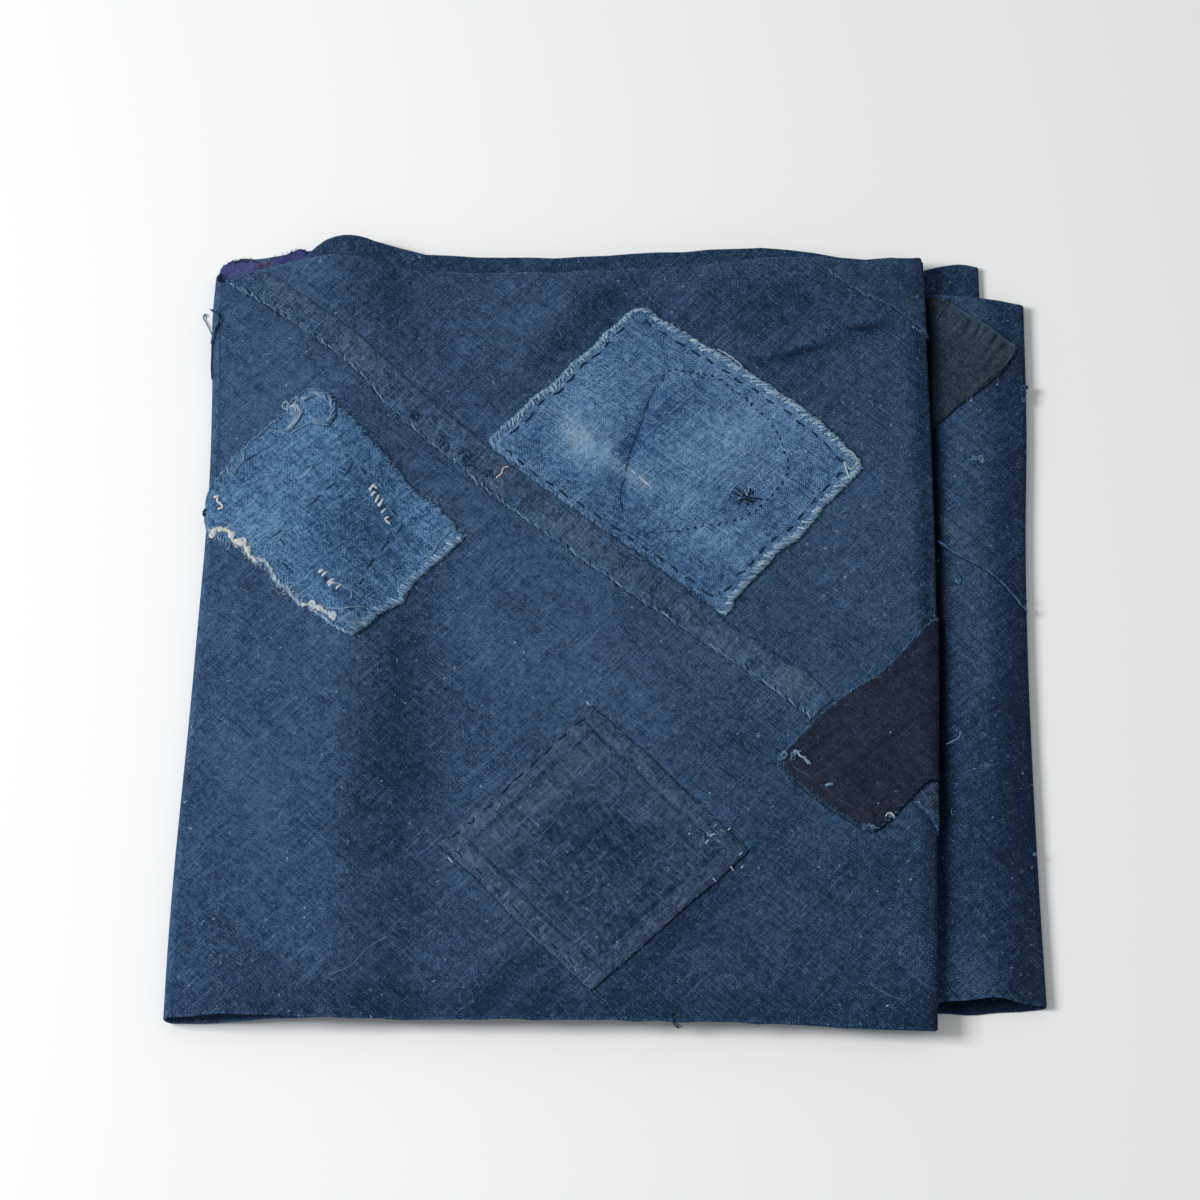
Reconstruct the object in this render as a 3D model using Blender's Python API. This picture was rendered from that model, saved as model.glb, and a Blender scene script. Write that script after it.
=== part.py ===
"""A folded boro cloth: one long indigo sheet laid back and forth in six layers,
with the seam strip, the corner panel and the patches that are sewn onto it.

Sizes are in millimetres, and MM turns them into Blender's metres. x runs from
the left to the right, y from the front edge to the back, and z is the height
above the surface that the cloth lies on."""

from collections import namedtuple
import math

import bmesh
import bpy
import numpy as np

MM = 0.001

CLOTH_THICKNESS = 1.2
PATCH_THICKNESS = 1.0
SEWN_GAP = 0.3            # between the cloth and what is sewn onto it
GROUND_HEIGHT = 0.7       # of the middle of a layer that sinks to the surface

# Grid lines that all layers share. The end rows and end columns follow the outline.
GRID_X = (-182, -170, -158, -147, -136, -124, -110, -92, -72, -52, -32, -12, 8, 28,
          48, 68, 88, 108, 126, 139, 152, 162, 172, 181, 189)
GRID_Y = (-160, -125, -85, -45, -5, 35, 75, 115, 145, 165)
FRONT_ROWS = (0.0, 0.3, 0.65)   # shares of the way from the front edge to the first line
BACK_ROWS = (0.5, 1.0)          # shares of the way from the last line to the back edge
END_MARGIN = 4                  # least distance from a fold to the next grid line

# A layer has the height of its middle, its share of the swells below, its front and
# back edges as (x, y) points, and its left and right ends as (y, x) points. An end
# is where the fold starts, or the cloth's own edge.
Layer = namedtuple("Layer", "height share front back left right")

TOP_LEFT_FOLD = ((-198, -193.2), (-163, -193.4), (-26, -190.3), (77, -189.3),
                 (125, -190.8), (160, -192), (180, -190.5))
TOP_RIGHT_FOLD = ((-199, 145.8), (-90, 147.8), (0, 149.8), (100, 149.2), (194, 146.6))
RIGHT_FOLD = ((-184, 194.8), (-125, 193.2), (46, 192.9), (104, 195.2), (174, 195.9))
INNER_LEFT_FOLD = ((0, -138),)
INNER_RIGHT_FOLD = ((0, 175.4),)

TOP = Layer(
    height=11.4, share=1.0,
    front=((-197, -198.3), (-170, -197.4), (-120, -197.5), (0, -196.7), (74, -196.8),
           (147, -198.8)),
    back=((-196, 176), (-182, 180), (-156, 186), (-140, 188), (-118, 185.5), (-96, 182.5),
          (-60, 181), (0, 184.5), (40, 187.5), (90, 192.8), (119, 191.2), (148, 194)),
    left=TOP_LEFT_FOLD, right=TOP_RIGHT_FOLD)
SECOND = Layer(
    height=9.4, share=1.0,
    front=((-152, -188), (0, -192), (60, -195), (95, -197.5), (147, -198.8)),
    back=((-152, 195), (-137, 199.5), (-115, 197), (-92, 192.5), (-29, 191.5), (40, 197),
          (80, 198), (110, 194), (148, 194)),
    left=((0, -152),), right=TOP_RIGHT_FOLD)
THIRD = Layer(
    height=6.6, share=0.5,
    front=((-197, -198.3), (-160, -197.3), (-130, -196), (-100, -191), (0, -188),
           (150, -184.3), (172, -182.3), (196, -185)),
    back=((-197, 177), (-190, 190), (-178, 193), (-156, 195), (-120, 192), (-60, 188),
          (150, 174.8), (182, 173.6), (197, 172)),
    left=TOP_LEFT_FOLD, right=RIGHT_FOLD)
FOURTH = Layer(
    height=4.6, share=0.35,
    front=((-138, -190.5), (140, -188), (172, -187.2), (196, -185)),
    back=((-138, 184), (150, 173), (197, 172)),
    left=INNER_LEFT_FOLD, right=RIGHT_FOLD)
FIFTH = Layer(
    height=2.6, share=0.2,
    front=((-138, -189), (110, -187), (150, -172), (176, -170)),
    back=((-138, 184), (150, 191), (172, 194.6), (176, 193.6)),
    left=INNER_LEFT_FOLD, right=INNER_RIGHT_FOLD)
BOTTOM = Layer(
    height=0.6, share=0.0,
    front=((-128, -188), (110, -187), (150, -172), (176, -170)),
    back=((-128, 184), (150, 191), (172, 194.6), (176, 193.6)),
    left=((0, -128),), right=INNER_RIGHT_FOLD)

# The sheet's way from one free end to the other: each layer, and which way it runs.
SECTION = ((SECOND, 1), (TOP, -1), (THIRD, 1), (FOURTH, -1), (FIFTH, 1), (BOTTOM, -1))

# The folds between the layers of the section: how far each one bulges sideways, and
# how many facets go round it.
Fold = namedtuple("Fold", "depth steps")
FOLDS = (Fold(1.2, 4), Fold(4.2, 7), Fold(2.0, 4), Fold(1.1, 4), Fold(1.1, 4))

# Soft swells that lift the layers. The length lies along the turn, in degrees from x.
Swell = namedtuple("Swell", "x y length width turn height")
SWELLS = (
    Swell(x=-130, y=-10, length=260, width=30, turn=90, height=1.9),
    Swell(x=-137, y=204, length=32, width=17, turn=90, height=5.0),
    Swell(x=-171, y=-202, length=34, width=26, turn=90, height=3.2),
    Swell(x=5, y=-60, length=190, width=55, turn=80, height=1.4),
    Swell(x=171, y=-188, length=40, width=15, turn=90, height=5.5),
    Swell(x=169, y=60, length=150, width=17, turn=90, height=2.0),
)

# Where a layer sinks towards another height, along x from one place to the next.
Slump = namedtuple("Slump", "layer starts ends height")
SLUMPS = (
    Slump(layer=TOP, starts=-172, ends=-193, height=10.4),
    Slump(layer=THIRD, starts=-140, ends=-184, height=GROUND_HEIGHT),
    Slump(layer=THIRD, starts=176, ends=193, height=4.6),
    Slump(layer=FOURTH, starts=178, ends=190, height=GROUND_HEIGHT),
)
FRONT_SLUMP_LENGTH = 11   # of the fourth layer, in front of the pair that it lies on

# The outlines of what is sewn on, as (x, y) points on the layer that carries it. On
# the top layer an x past the right fold is measured round it, onto the layer below.
STRIP_OUTLINE = ((-191, 174.5), (-168.9, 160.3), (-132.6, 133), (-109.8, 108),
                 (-90, 89.2), (-73.7, 76.6), (-67.3, 68.6), (-44.8, 50.6), (-1.7, 17.6),
                 (68.6, -31.9), (92.6, -51.4), (102.1, -41.2), (90, -27.5), (76.6, -20.5),
                 (51.5, -1.2), (12.2, 30.2), (-26.1, 60.4), (-61.3, 87.2), (-76.3, 99.6),
                 (-92, 113.7), (-109.2, 130.3), (-128, 147.5), (-147, 161.5), (-161.3, 172),
                 (-175, 180.3), (-183, 178.5))
STRIP_END_OUTLINE = ((139.3, -91.5), (142.6, -94.9), (146.3, -99), (148.4, -103),
                     (149.2, -107), (149.7, -81), (145.4, -83.4))
CORNER_OUTLINE = ((95, 191), (106.4, 182.4), (121.1, 172.4), (134.2, 165.1),
                  (146.1, 155.9), (149.4, 150), (148.2, 191.5), (140, 191.5), (119, 189.5))
FRAYED_OUTLINE = ((-193.6, 53), (-158.7, 96.4), (-147.7, 116.6), (-135.4, 110.3),
                  (-71.2, 40.8), (-81, 26.6), (-121.1, -13.1), (-151.7, 9.9),
                  (-178, 33.8), (-188.8, 40.4))
FADED_OUTLINE = ((-60.5, 89.7), (10.9, 164.5), (30, 153.5), (56.9, 132.5), (88.1, 107),
                 (116.7, 79.8), (82.9, 39.7), (52.3, 0.6))
HEMMED_OUTLINE = ((-77.6, -115.2), (-9.5, -47), (63.2, -116.2), (-7, -183.7))
DARK_OUTLINE = ((77.6, -70.4), (84.7, -62), (104.7, -41.5), (129, -23.6), (149, 0),
                (158, 4), (158, -80), (149, -78.6), (144.5, -81.6), (136.6, -90.7),
                (119.9, -106.3), (102.6, -96.4), (82.2, -79.6))
OLIVE_OUTLINE = ((139, 173), (159, 173), (162.5, 170.5), (172.2, 163.5), (183.8, 156),
                 (194.3, 148), (192.5, 143.3), (184.7, 132.5), (174.9, 123.2),
                 (154.8, 104.9), (139, 90.5))
PURPLE_OUTLINE = ((-191, 176), (-186.5, 189), (-178, 191), (-156.5, 193), (-150, 190),
                  (-150, 178), (-170, 172))

# Each sewn-on piece: its name, outline, home layer, colour and roughness.
Sewn = namedtuple("Sewn", "name outline layer colour roughness")
SEWN_PIECES = (
    Sewn("seam_strip", STRIP_OUTLINE, TOP, (0.05, 0.10, 0.18), 0.92),
    Sewn("seam_strip_end", STRIP_END_OUTLINE, TOP, (0.05, 0.10, 0.18), 0.92),
    Sewn("corner_panel", CORNER_OUTLINE, TOP, (0.03, 0.07, 0.13), 0.92),
    Sewn("patch_frayed", FRAYED_OUTLINE, TOP, (0.07, 0.17, 0.30), 0.94),
    Sewn("patch_faded", FADED_OUTLINE, TOP, (0.07, 0.16, 0.27), 0.94),
    Sewn("patch_hemmed", HEMMED_OUTLINE, TOP, (0.02, 0.045, 0.10), 0.93),
    Sewn("patch_dark", DARK_OUTLINE, TOP, (0.015, 0.02, 0.04), 0.93),
    Sewn("patch_olive", OLIVE_OUTLINE, THIRD, (0.02, 0.04, 0.06), 0.93),
    Sewn("patch_purple", PURPLE_OUTLINE, THIRD, (0.05, 0.04, 0.14), 0.93),
)
CLOTH_COLOUR = (0.03, 0.08, 0.16)
CLOTH_ROUGHNESS = 0.92
OUTLINE_STEP = 9          # longest piece of a sewn outline before it meets the grid
FOLD_REACH = 2            # columns of the left fold that a sewn piece may lie on
PLACE_ROUNDS = 4          # turns of the search for a place on the grid
PLACE_SLACK = 1e-6        # of a column or row, so that a place on a line stays on it
CUT_SLACK = 1e-4          # of a column or row, within which a cut takes a point as on it


def table_value(table, position):
    """The value that a table of (position, value) points gives, straight between them."""
    positions, values = zip(*table)
    return float(np.interp(position, positions, values))


def smooth_step(share):
    """0 up to 0, 1 from 1 on, and a soft S between them."""
    share = min(max(share, 0.0), 1.0)
    return share * share * (3 - 2 * share)


def swell_height(x, y):
    """The full lift of all the soft swells at one place."""
    lift = 0.0
    for swell in SWELLS:
        turn = math.radians(swell.turn)
        dx = x - swell.x
        dy = y - swell.y
        along = dx * math.cos(turn) + dy * math.sin(turn)
        across = dy * math.cos(turn) - dx * math.sin(turn)
        lift += swell.height * math.exp(-(along / swell.length) ** 2 - (across / swell.width) ** 2)
    return lift


def layer_height(layer, x, y):
    """The height of the middle of a layer at one place."""
    height = layer.height + layer.share * swell_height(x, y)
    for slump in SLUMPS:
        if slump.layer is layer:
            sunk = smooth_step((x - slump.starts) / (slump.ends - slump.starts))
            height += (slump.height - height) * sunk
    if layer is FOURTH:
        overhang = table_value(FIFTH.front, x) - y
        height += (GROUND_HEIGHT - height) * smooth_step(overhang / FRONT_SLUMP_LENGTH)
    return height


def row_y(layer, row, x):
    """The y of a grid row on a layer. The first and last rows lie on its edges."""
    front = table_value(layer.front, x)
    back = table_value(layer.back, x)
    if row < len(FRONT_ROWS):
        return front + (GRID_Y[0] - front) * FRONT_ROWS[row]
    row -= len(FRONT_ROWS)
    if row < len(GRID_Y):
        return GRID_Y[row]
    return GRID_Y[-1] + (back - GRID_Y[-1]) * BACK_ROWS[row - len(GRID_Y)]


ROWS = range(len(FRONT_ROWS) + len(GRID_Y) + len(BACK_ROWS))


def layer_column(layer, x_at_y):
    """One column of points on a layer, where x_at_y gives the column's x for a y."""
    points = []
    for row in ROWS:
        y = row_y(layer, row, x_at_y(row_y(layer, row, x_at_y(0))))
        x = x_at_y(y)
        points.append((x, y, layer_height(layer, x, y)))
    return points


def layer_columns(layer):
    """The columns of a layer from its left end to its right end."""
    left_most = max(x for _, x in layer.left) + END_MARGIN
    right_most = min(x for _, x in layer.right) - END_MARGIN
    columns = [layer_column(layer, lambda y: table_value(layer.left, y))]
    for line in GRID_X:
        if left_most <= line <= right_most:
            columns.append(layer_column(layer, lambda y, line=line: line))
    columns.append(layer_column(layer, lambda y: table_value(layer.right, y)))
    return columns


def fold_columns(start, end, side, fold):
    """The columns round a fold between the end columns of two layers."""
    columns = []
    for step in range(1, fold.steps):
        angle = math.pi * step / fold.steps
        column = []
        for (x0, y0, z0), (x1, y1, z1) in zip(start, end):
            share = (1 - math.cos(angle)) / 2
            x = x0 + (x1 - x0) * share + side * fold.depth * math.sin(angle)
            column.append((x, y0 + (y1 - y0) * share, z0 + (z1 - z0) * share))
        columns.append(column)
    return columns


def sheet_grid():
    """The points on the middle of the whole sheet as an array of columns and rows, and
    the range of columns that belongs to each layer."""
    columns = []
    ranges = {}
    for number, (layer, direction) in enumerate(SECTION):
        own = layer_columns(layer)[::direction]
        if number:
            last_direction = SECTION[number - 1][1]
            columns += fold_columns(columns[-1], own[0], last_direction, FOLDS[number - 1])
        ranges[layer.height] = (len(columns), len(columns) + len(own) - 1)
        columns += own
    return np.array(columns), ranges


def grid_normals(points):
    """The directions that point out of the face that the top layer turns upwards."""
    along = np.gradient(points, axis=0)
    across = np.gradient(points, axis=1)
    normals = np.cross(across, along)
    return normals / np.linalg.norm(normals, axis=2, keepdims=True)


def new_material(name, colour, roughness):
    """A plain Principled material."""
    material = bpy.data.materials.new(name)
    material.use_nodes = True
    shader = material.node_tree.nodes["Principled BSDF"]
    shader.inputs["Base Color"].default_value = (*colour, 1.0)
    shader.inputs["Roughness"].default_value = roughness
    shader.inputs["Metallic"].default_value = 0.0
    return material


def add_object(name, mesh_data, colour, roughness):
    """Put a bmesh into the scene as one named object with its own material."""
    bmesh.ops.recalc_face_normals(mesh_data, faces=mesh_data.faces)
    mesh = bpy.data.meshes.new(name)
    mesh_data.to_mesh(mesh)
    mesh_data.free()
    mesh.materials.append(new_material(name, colour, roughness))
    thing = bpy.data.objects.new(name, mesh)
    bpy.context.scene.collection.objects.link(thing)
    return thing


def close_sheet(mesh_data, upper, lower, triangles, rim):
    """Build a closed sheet from two matching lists of points, the triangles of its
    upper face and the directed edges of its rim."""
    top = [mesh_data.verts.new(point * MM) for point in upper]
    base = [mesh_data.verts.new(point * MM) for point in lower]
    for a, b, c in triangles:
        mesh_data.faces.new((top[a], top[b], top[c]))
        mesh_data.faces.new((base[c], base[b], base[a]))
    for a, b in rim:
        mesh_data.faces.new((top[b], top[a], base[a], base[b]))


def build_cloth(points, normals):
    """The sheet itself, half its thickness on each side of the grid."""
    column_count, row_count = points.shape[:2]

    def index(column, row):
        return column * row_count + row

    triangles = []
    for column in range(column_count - 1):
        for row in range(row_count - 1):
            corner = index(column, row)
            far = index(column + 1, row + 1)
            triangles.append((corner, far, index(column + 1, row)))
            triangles.append((corner, index(column, row + 1), far))
    last_column = column_count - 1
    last_row = row_count - 1
    border = [index(column, 0) for column in range(last_column)]
    border += [index(last_column, row) for row in range(last_row)]
    border += [index(column, last_row) for column in range(last_column, 0, -1)]
    border += [index(0, row) for row in range(last_row, 0, -1)]
    rim = list(zip(border[1:] + border[:1], border))
    half = normals * CLOTH_THICKNESS / 2
    upper = (points + half).reshape(-1, 3)
    lower = (points - half).reshape(-1, 3)
    mesh_data = bmesh.new()
    close_sheet(mesh_data, upper, lower, triangles, rim)
    return add_object("folded_cloth", mesh_data, CLOTH_COLOUR, CLOTH_ROUGHNESS)


def unrolled_x(points, ranges):
    """The x of each grid point on the top layer, carried on by the length of the cloth:
    round the right fold and along the second layer, and onto the left fold."""
    spread = points[:, :, 0].copy()
    steps = np.linalg.norm(np.diff(points, axis=0), axis=2)
    for column in range(ranges[TOP.height][0] - 1, -1, -1):
        spread[column] = spread[column + 1] + steps[column]
    left_end = ranges[TOP.height][1]
    for column in range(left_end, left_end + FOLD_REACH):
        spread[column + 1] = spread[column] - steps[column]
    return spread


def grid_place(x, y, spread, points, first, last):
    """The fractional column and row of the grid at a place on one layer."""
    columns = np.arange(first, last + 1)
    rows = np.arange(points.shape[1])
    row = 0.0
    column = float(first)
    for _ in range(PLACE_ROUNDS):
        low = int(min(row, rows[-2]))
        share = row - low
        line = spread[first:last + 1, low] * (1 - share) + spread[first:last + 1, low + 1] * share
        order = np.argsort(line)
        column = float(np.interp(x, line[order], columns[order]))
        near = min(int(column), last - 1)
        share = column - near
        line = points[near, :, 1] * (1 - share) + points[near + 1, :, 1] * share
        row = float(np.interp(y, line, rows))
    return column, row


def grid_blend(values, column, row):
    """The value at a fractional place, flat within each triangle of the cloth."""
    left = min(int(column + PLACE_SLACK), values.shape[0] - 2)
    low = min(int(row + PLACE_SLACK), values.shape[1] - 2)
    u = column - left
    v = row - low
    corner = values[left, low]
    far = values[left + 1, low + 1]
    if u >= v:
        side = values[left + 1, low]
        return corner + (side - corner) * u + (far - side) * v
    side = values[left, low + 1]
    return corner + (side - corner) * v + (far - side) * u


def outline_steps(outline):
    """The points of a closed outline with no side longer than OUTLINE_STEP."""
    steps = []
    for (x0, y0), (x1, y1) in zip(outline, outline[1:] + outline[:1]):
        count = math.ceil(math.hypot(x1 - x0, y1 - y0) / OUTLINE_STEP)
        for step in range(count):
            share = step / count
            steps.append((x0 + (x1 - x0) * share, y0 + (y1 - y0) * share))
    return steps


def cut_along_grid(flat, limits):
    """Cut a flat outline along the grid's columns, rows and diagonals, so that each
    facet lies over one facet of the cloth."""
    first, last, row_count = limits
    lines = [((column, 0, 0), (1, 0, 0)) for column in range(first, last + 1)]
    lines += [((0, row, 0), (0, 1, 0)) for row in range(row_count)]
    lines += [((offset, 0, 0), (1, -1, 0)) for offset in range(first - row_count, last + 1)]
    for place, direction in lines:
        geometry = flat.verts[:] + flat.edges[:] + flat.faces[:]
        bmesh.ops.bisect_plane(
            flat, geom=geometry, dist=CUT_SLACK, plane_co=place, plane_no=direction)
    bmesh.ops.triangulate(flat, faces=flat.faces[:])


def build_sewn(piece, points, normals, spread, ranges):
    """A thin sewn-on sheet that follows the facets of the layer under it."""
    first, last = ranges[piece.layer.height]
    face_side = -1
    if piece.layer is TOP:
        first = 0
        last += FOLD_REACH
        face_side = 1
    corners = []
    for x, y in outline_steps(piece.outline):
        corners.append(grid_place(x, y, spread, points, first, last))
    flat = bmesh.new()
    flat.faces.new([flat.verts.new((column, row, 0)) for column, row in corners])
    cut_along_grid(flat, (first, last, points.shape[1]))
    flat.verts.index_update()
    near = face_side * (CLOTH_THICKNESS / 2 + SEWN_GAP)
    far = near + face_side * PATCH_THICKNESS
    upper = []
    lower = []
    for vert in flat.verts:
        middle = grid_blend(points, vert.co.x, vert.co.y)
        normal = grid_blend(normals, vert.co.x, vert.co.y)
        upper.append(middle + normal * far)
        lower.append(middle + normal * near)
    triangles = [[vert.index for vert in face.verts] for face in flat.faces]
    rim = []
    for edge in flat.edges:
        if edge.is_boundary:
            loop = edge.link_loops[0]
            rim.append((loop.vert.index, loop.link_loop_next.vert.index))
    flat.free()
    mesh_data = bmesh.new()
    close_sheet(mesh_data, upper, lower, triangles, rim)
    return add_object(piece.name, mesh_data, piece.colour, piece.roughness)


def centre_on_origin(things):
    """Put the origin on the surface below the middle of the whole packet."""
    corners = np.array([corner[:] for thing in things for corner in thing.bound_box])
    low = corners.min(axis=0)
    high = corners.max(axis=0)
    for thing in things:
        thing.location = (-(low[0] + high[0]) / 2, -(low[1] + high[1]) / 2, -low[2])


def main():
    for thing in list(bpy.data.objects):
        bpy.data.objects.remove(thing, do_unlink=True)
    points, ranges = sheet_grid()
    normals = grid_normals(points)
    things = [build_cloth(points, normals)]
    top_spread = unrolled_x(points, ranges)
    for piece in SEWN_PIECES:
        spread = top_spread if piece.layer is TOP else points[:, :, 0]
        things.append(build_sewn(piece, points, normals, spread, ranges))
    centre_on_origin(things)


main()
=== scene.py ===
"""The looks of the folded boro cloth: the fine sheet on its folds, the patches with
their hems, frays and stitches, the loose threads, and the woven materials.

Sizes are in millimetres in the packet's own plan, where x runs to the right, y to
the back and z up. in_frame() moves them into the frame and turns them into metres."""

from collections import namedtuple
import math

import bpy
import numpy as np
from mathutils import Matrix, kdtree


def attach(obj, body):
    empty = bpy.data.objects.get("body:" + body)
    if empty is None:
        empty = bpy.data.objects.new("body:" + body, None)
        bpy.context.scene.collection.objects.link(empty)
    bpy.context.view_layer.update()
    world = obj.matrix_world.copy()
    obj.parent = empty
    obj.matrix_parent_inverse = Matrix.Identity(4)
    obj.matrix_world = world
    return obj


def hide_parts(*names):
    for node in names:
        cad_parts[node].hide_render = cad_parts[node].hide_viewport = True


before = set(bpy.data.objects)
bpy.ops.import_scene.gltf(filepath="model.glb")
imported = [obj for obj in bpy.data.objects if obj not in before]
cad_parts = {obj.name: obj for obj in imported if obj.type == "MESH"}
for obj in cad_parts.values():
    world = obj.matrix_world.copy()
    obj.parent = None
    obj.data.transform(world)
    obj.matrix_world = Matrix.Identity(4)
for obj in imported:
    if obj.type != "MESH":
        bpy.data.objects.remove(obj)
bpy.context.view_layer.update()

MM = 0.001
PLAN_SHIFT = np.array((-0.23, -0.33, 0.0))   # from the plan's origin to the frame's
CLOTH_THICKNESS = 1.0
GROUND_HEIGHT = 0.7        # of the middle of a layer that sinks to the surface
RIGHT_FOLD_RADIUS = 1.1    # of the top layer, where a patch wraps round it
LEAST_FOLD_RADIUS = 0.5
SLOPE_STEP = 0.6           # each way from a place, to find how the surface lies there
NEARLY_ZERO = 1e-9         # added to a length before a division

# The plan of the sheet: the layers, folds, swells and slumps of the solids, with finer
# edges. A layer's front and back are (x, y) points, and its folds are (y, x) points. Its
# share is how much of the creases and swells it takes on.
Layer = namedtuple("Layer", "height share front back left right")

TOP_LEFT_FOLD = ((-198, -193.2), (-163, -193.4), (-26, -190.3), (77, -189.3),
                 (125, -191.2), (160, -193.2), (180, -192.6))
TOP_RIGHT_FOLD = ((-199, 145.8), (-90, 147.8), (0, 149.8), (100, 149.2), (194, 146.6))
RIGHT_FOLD = ((-184, 194.8), (-125, 193.2), (46, 192.9), (104, 195.2), (174, 195.9))
INNER_LEFT_FOLD = ((0, -138),)
INNER_RIGHT_FOLD = ((0, 175.4),)

TOP = Layer(
    height=11.4, share=1.0,
    front=((-197, -198.3), (-170, -197.4), (-120, -197.5), (0, -196.7), (74, -196.8),
           (147, -198.8)),
    back=((-191, 173.5), (-187.5, 177), (-182, 179.5), (-156, 186), (-140, 188),
          (-118, 185.5), (-96, 182.5), (-60, 181), (0, 184.5), (40, 187.5), (90, 192.8),
          (119, 191.2), (148, 194)),
    left=TOP_LEFT_FOLD, right=TOP_RIGHT_FOLD)
SECOND = Layer(
    height=9.4, share=1.0,
    front=((-152, -188), (0, -192), (60, -195), (95, -197.5), (147, -198.8)),
    back=((-152, 190.5), (-147, 195), (-137, 199), (-115, 197), (-92, 192.5),
          (-29, 191.5), (40, 197), (80, 198), (110, 194), (148, 194)),
    left=((0, -152),), right=TOP_RIGHT_FOLD)
THIRD = Layer(
    height=6.6, share=0.5,
    front=((-197, -198.3), (-160, -197.3), (-130, -196), (-100, -191), (0, -188),
           (150, -184.3), (172, -182.3), (196, -185)),
    back=((-197, 177), (-190, 190), (-178, 193), (-156, 195), (-120, 192), (-60, 188),
          (150, 174.8), (182, 173.6), (197, 172)),
    left=TOP_LEFT_FOLD, right=RIGHT_FOLD)
FOURTH = Layer(
    height=4.6, share=0.35,
    front=((-138, -190.5), (140, -188), (172, -187.2), (196, -185)),
    back=((-138, 184), (150, 173), (197, 172)),
    left=INNER_LEFT_FOLD, right=RIGHT_FOLD)
FIFTH = Layer(
    height=2.6, share=0.2,
    front=((-138, -189), (60, -187.6), (102, -187.2), (150, -172), (176, -170)),
    back=((-138, 184), (150, 191), (172, 194.6), (176, 193.6)),
    left=INNER_LEFT_FOLD, right=INNER_RIGHT_FOLD)
BOTTOM = Layer(
    height=0.6, share=0.0,
    front=((-128, -188), (60, -187.6), (102, -187.2), (150, -172), (176, -170)),
    back=((-128, 184), (150, 191), (172, 194.6), (176, 193.6)),
    left=((0, -128),), right=INNER_RIGHT_FOLD)

SECTION = ((SECOND, 1), (TOP, -1), (THIRD, 1), (FOURTH, -1), (FIFTH, 1), (BOTTOM, -1))
FOLD_DEPTHS = (1.2, 4.2, 2.0, 1.1, 1.1)

# A row of a table of swells gives the x and y of its middle, its length and width,
# the turn of its length in degrees from x, and its height.
Swell = namedtuple("Swell", "x y length width turn height")
SWELLS = (
    (-130, -10, 260, 30, 90, 1.9), (-137, 204, 32, 17, 90, 5.0), (-171, -202, 34, 26, 90, 3.2),
    (5, -60, 190, 55, 80, 1.4), (171, -188, 40, 15, 90, 5.5), (169, 60, 150, 17, 90, 2.0),
)

Slump = namedtuple("Slump", "layer starts ends height")
SLUMPS = (
    Slump(layer=TOP, starts=-172, ends=-193, height=10.4),
    Slump(layer=THIRD, starts=-140, ends=-184, height=GROUND_HEIGHT),
    Slump(layer=THIRD, starts=176, ends=193, height=4.6),
    Slump(layer=FOURTH, starts=178, ends=190, height=GROUND_HEIGHT),
)
FRONT_SLUMP_LENGTH = 11

# The creases that show in the cloth: troughs are below zero.
CREASES = (
    (-124, -60, 150, 9, 92, 1.3), (-99, -60, 190, 16, 91, -1.7), (-104, 172, 30, 12, 100, -1.6),
    (-62, 150, 45, 20, 80, 0.9), (-10, 157, 42, 8, 48, -2.1), (-28, 166, 40, 10, 55, 0.9),
    (28, 170, 24, 6, 55, -1.2), (38, 172, 24, 5, 58, 0.8), (-46, -180, 22, 4.2, 52, -2.4),
    (-54, -176, 26, 6, 56, 1.2), (-36, -180, 20, 4.5, 56, 1.0), (-27, -187, 15, 3.6, 58, -2.0),
    (-20, -158, 22, 5, 47, -1.2), (34, -157, 46, 6, 48, -1.5), (22, -150, 46, 9, 50, 0.8),
    (72, -150, 50, 14, 40, 1.0), (104, -152, 50, 11, 38, -1.2), (84, 140, 22, 3.6, 19, -1.7),
    (80, 146, 22, 5, 19, 0.9), (120, 155, 16, 3.6, 12, -1.5), (118, 161, 20, 5, 14, 0.8),
    (100, 129, 26, 6, 30, -1.0), (116, 138, 26, 6, 15, 0.8), (76, 176, 22, 7, 60, -1.2),
    (110, 172, 34, 8, 22, -1.1), (-143, -62, 28, 7, 45, -1.0), (-157, -95, 28, 8, 40, -0.9),
    (-150, -150, 34, 10, 40, -0.9), (-80, -120, 30, 8, 50, 0.8), (-165, 130, 40, 9, 110, -0.8),
    (100, 20, 40, 12, 35, -0.9), (125, 60, 50, 10, 75, 0.8), (-30, 0, 50, 9, -36, -0.5),
    (40, -50, 46, 9, -38, -0.5), (150, 20, 200, 3.4, 90.5, -2.0), (178, 60, 60, 6, 85, -1.2),
    (166, -60, 70, 6, 94, 1.0), (180, -120, 50, 6, 88, -1.2), (160, -170, 16, 4, 115, -1.6),
)
CRUMPLES = ((40.0, 0.30, 11), (16.0, 0.12, 12))     # size, height and seed of soft noise


def curve_value(table, position):
    """The value of a table of (position, value) points on one smooth curve."""
    places, values = np.array(table, dtype=float).T
    position = np.asarray(position, dtype=float)
    if len(places) == 1:
        return np.full_like(position, values[0])
    slopes = np.gradient(values, places)
    position = np.clip(position, places[0], places[-1])
    start = np.clip(np.searchsorted(places, position) - 1, 0, len(places) - 2)
    width = places[start + 1] - places[start]
    t = (position - places[start]) / width
    rise = 3 * t ** 2 - 2 * t ** 3
    bend_in = (t ** 3 - 2 * t ** 2 + t) * width * slopes[start]
    bend_out = (t ** 3 - t ** 2) * width * slopes[start + 1]
    return values[start] * (1 - rise) + values[start + 1] * rise + bend_in + bend_out


def smooth_step(share):
    """0 up to 0, 1 from 1 on, and a soft S between them."""
    share = np.clip(share, 0.0, 1.0)
    return share * share * (3 - 2 * share)


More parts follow.
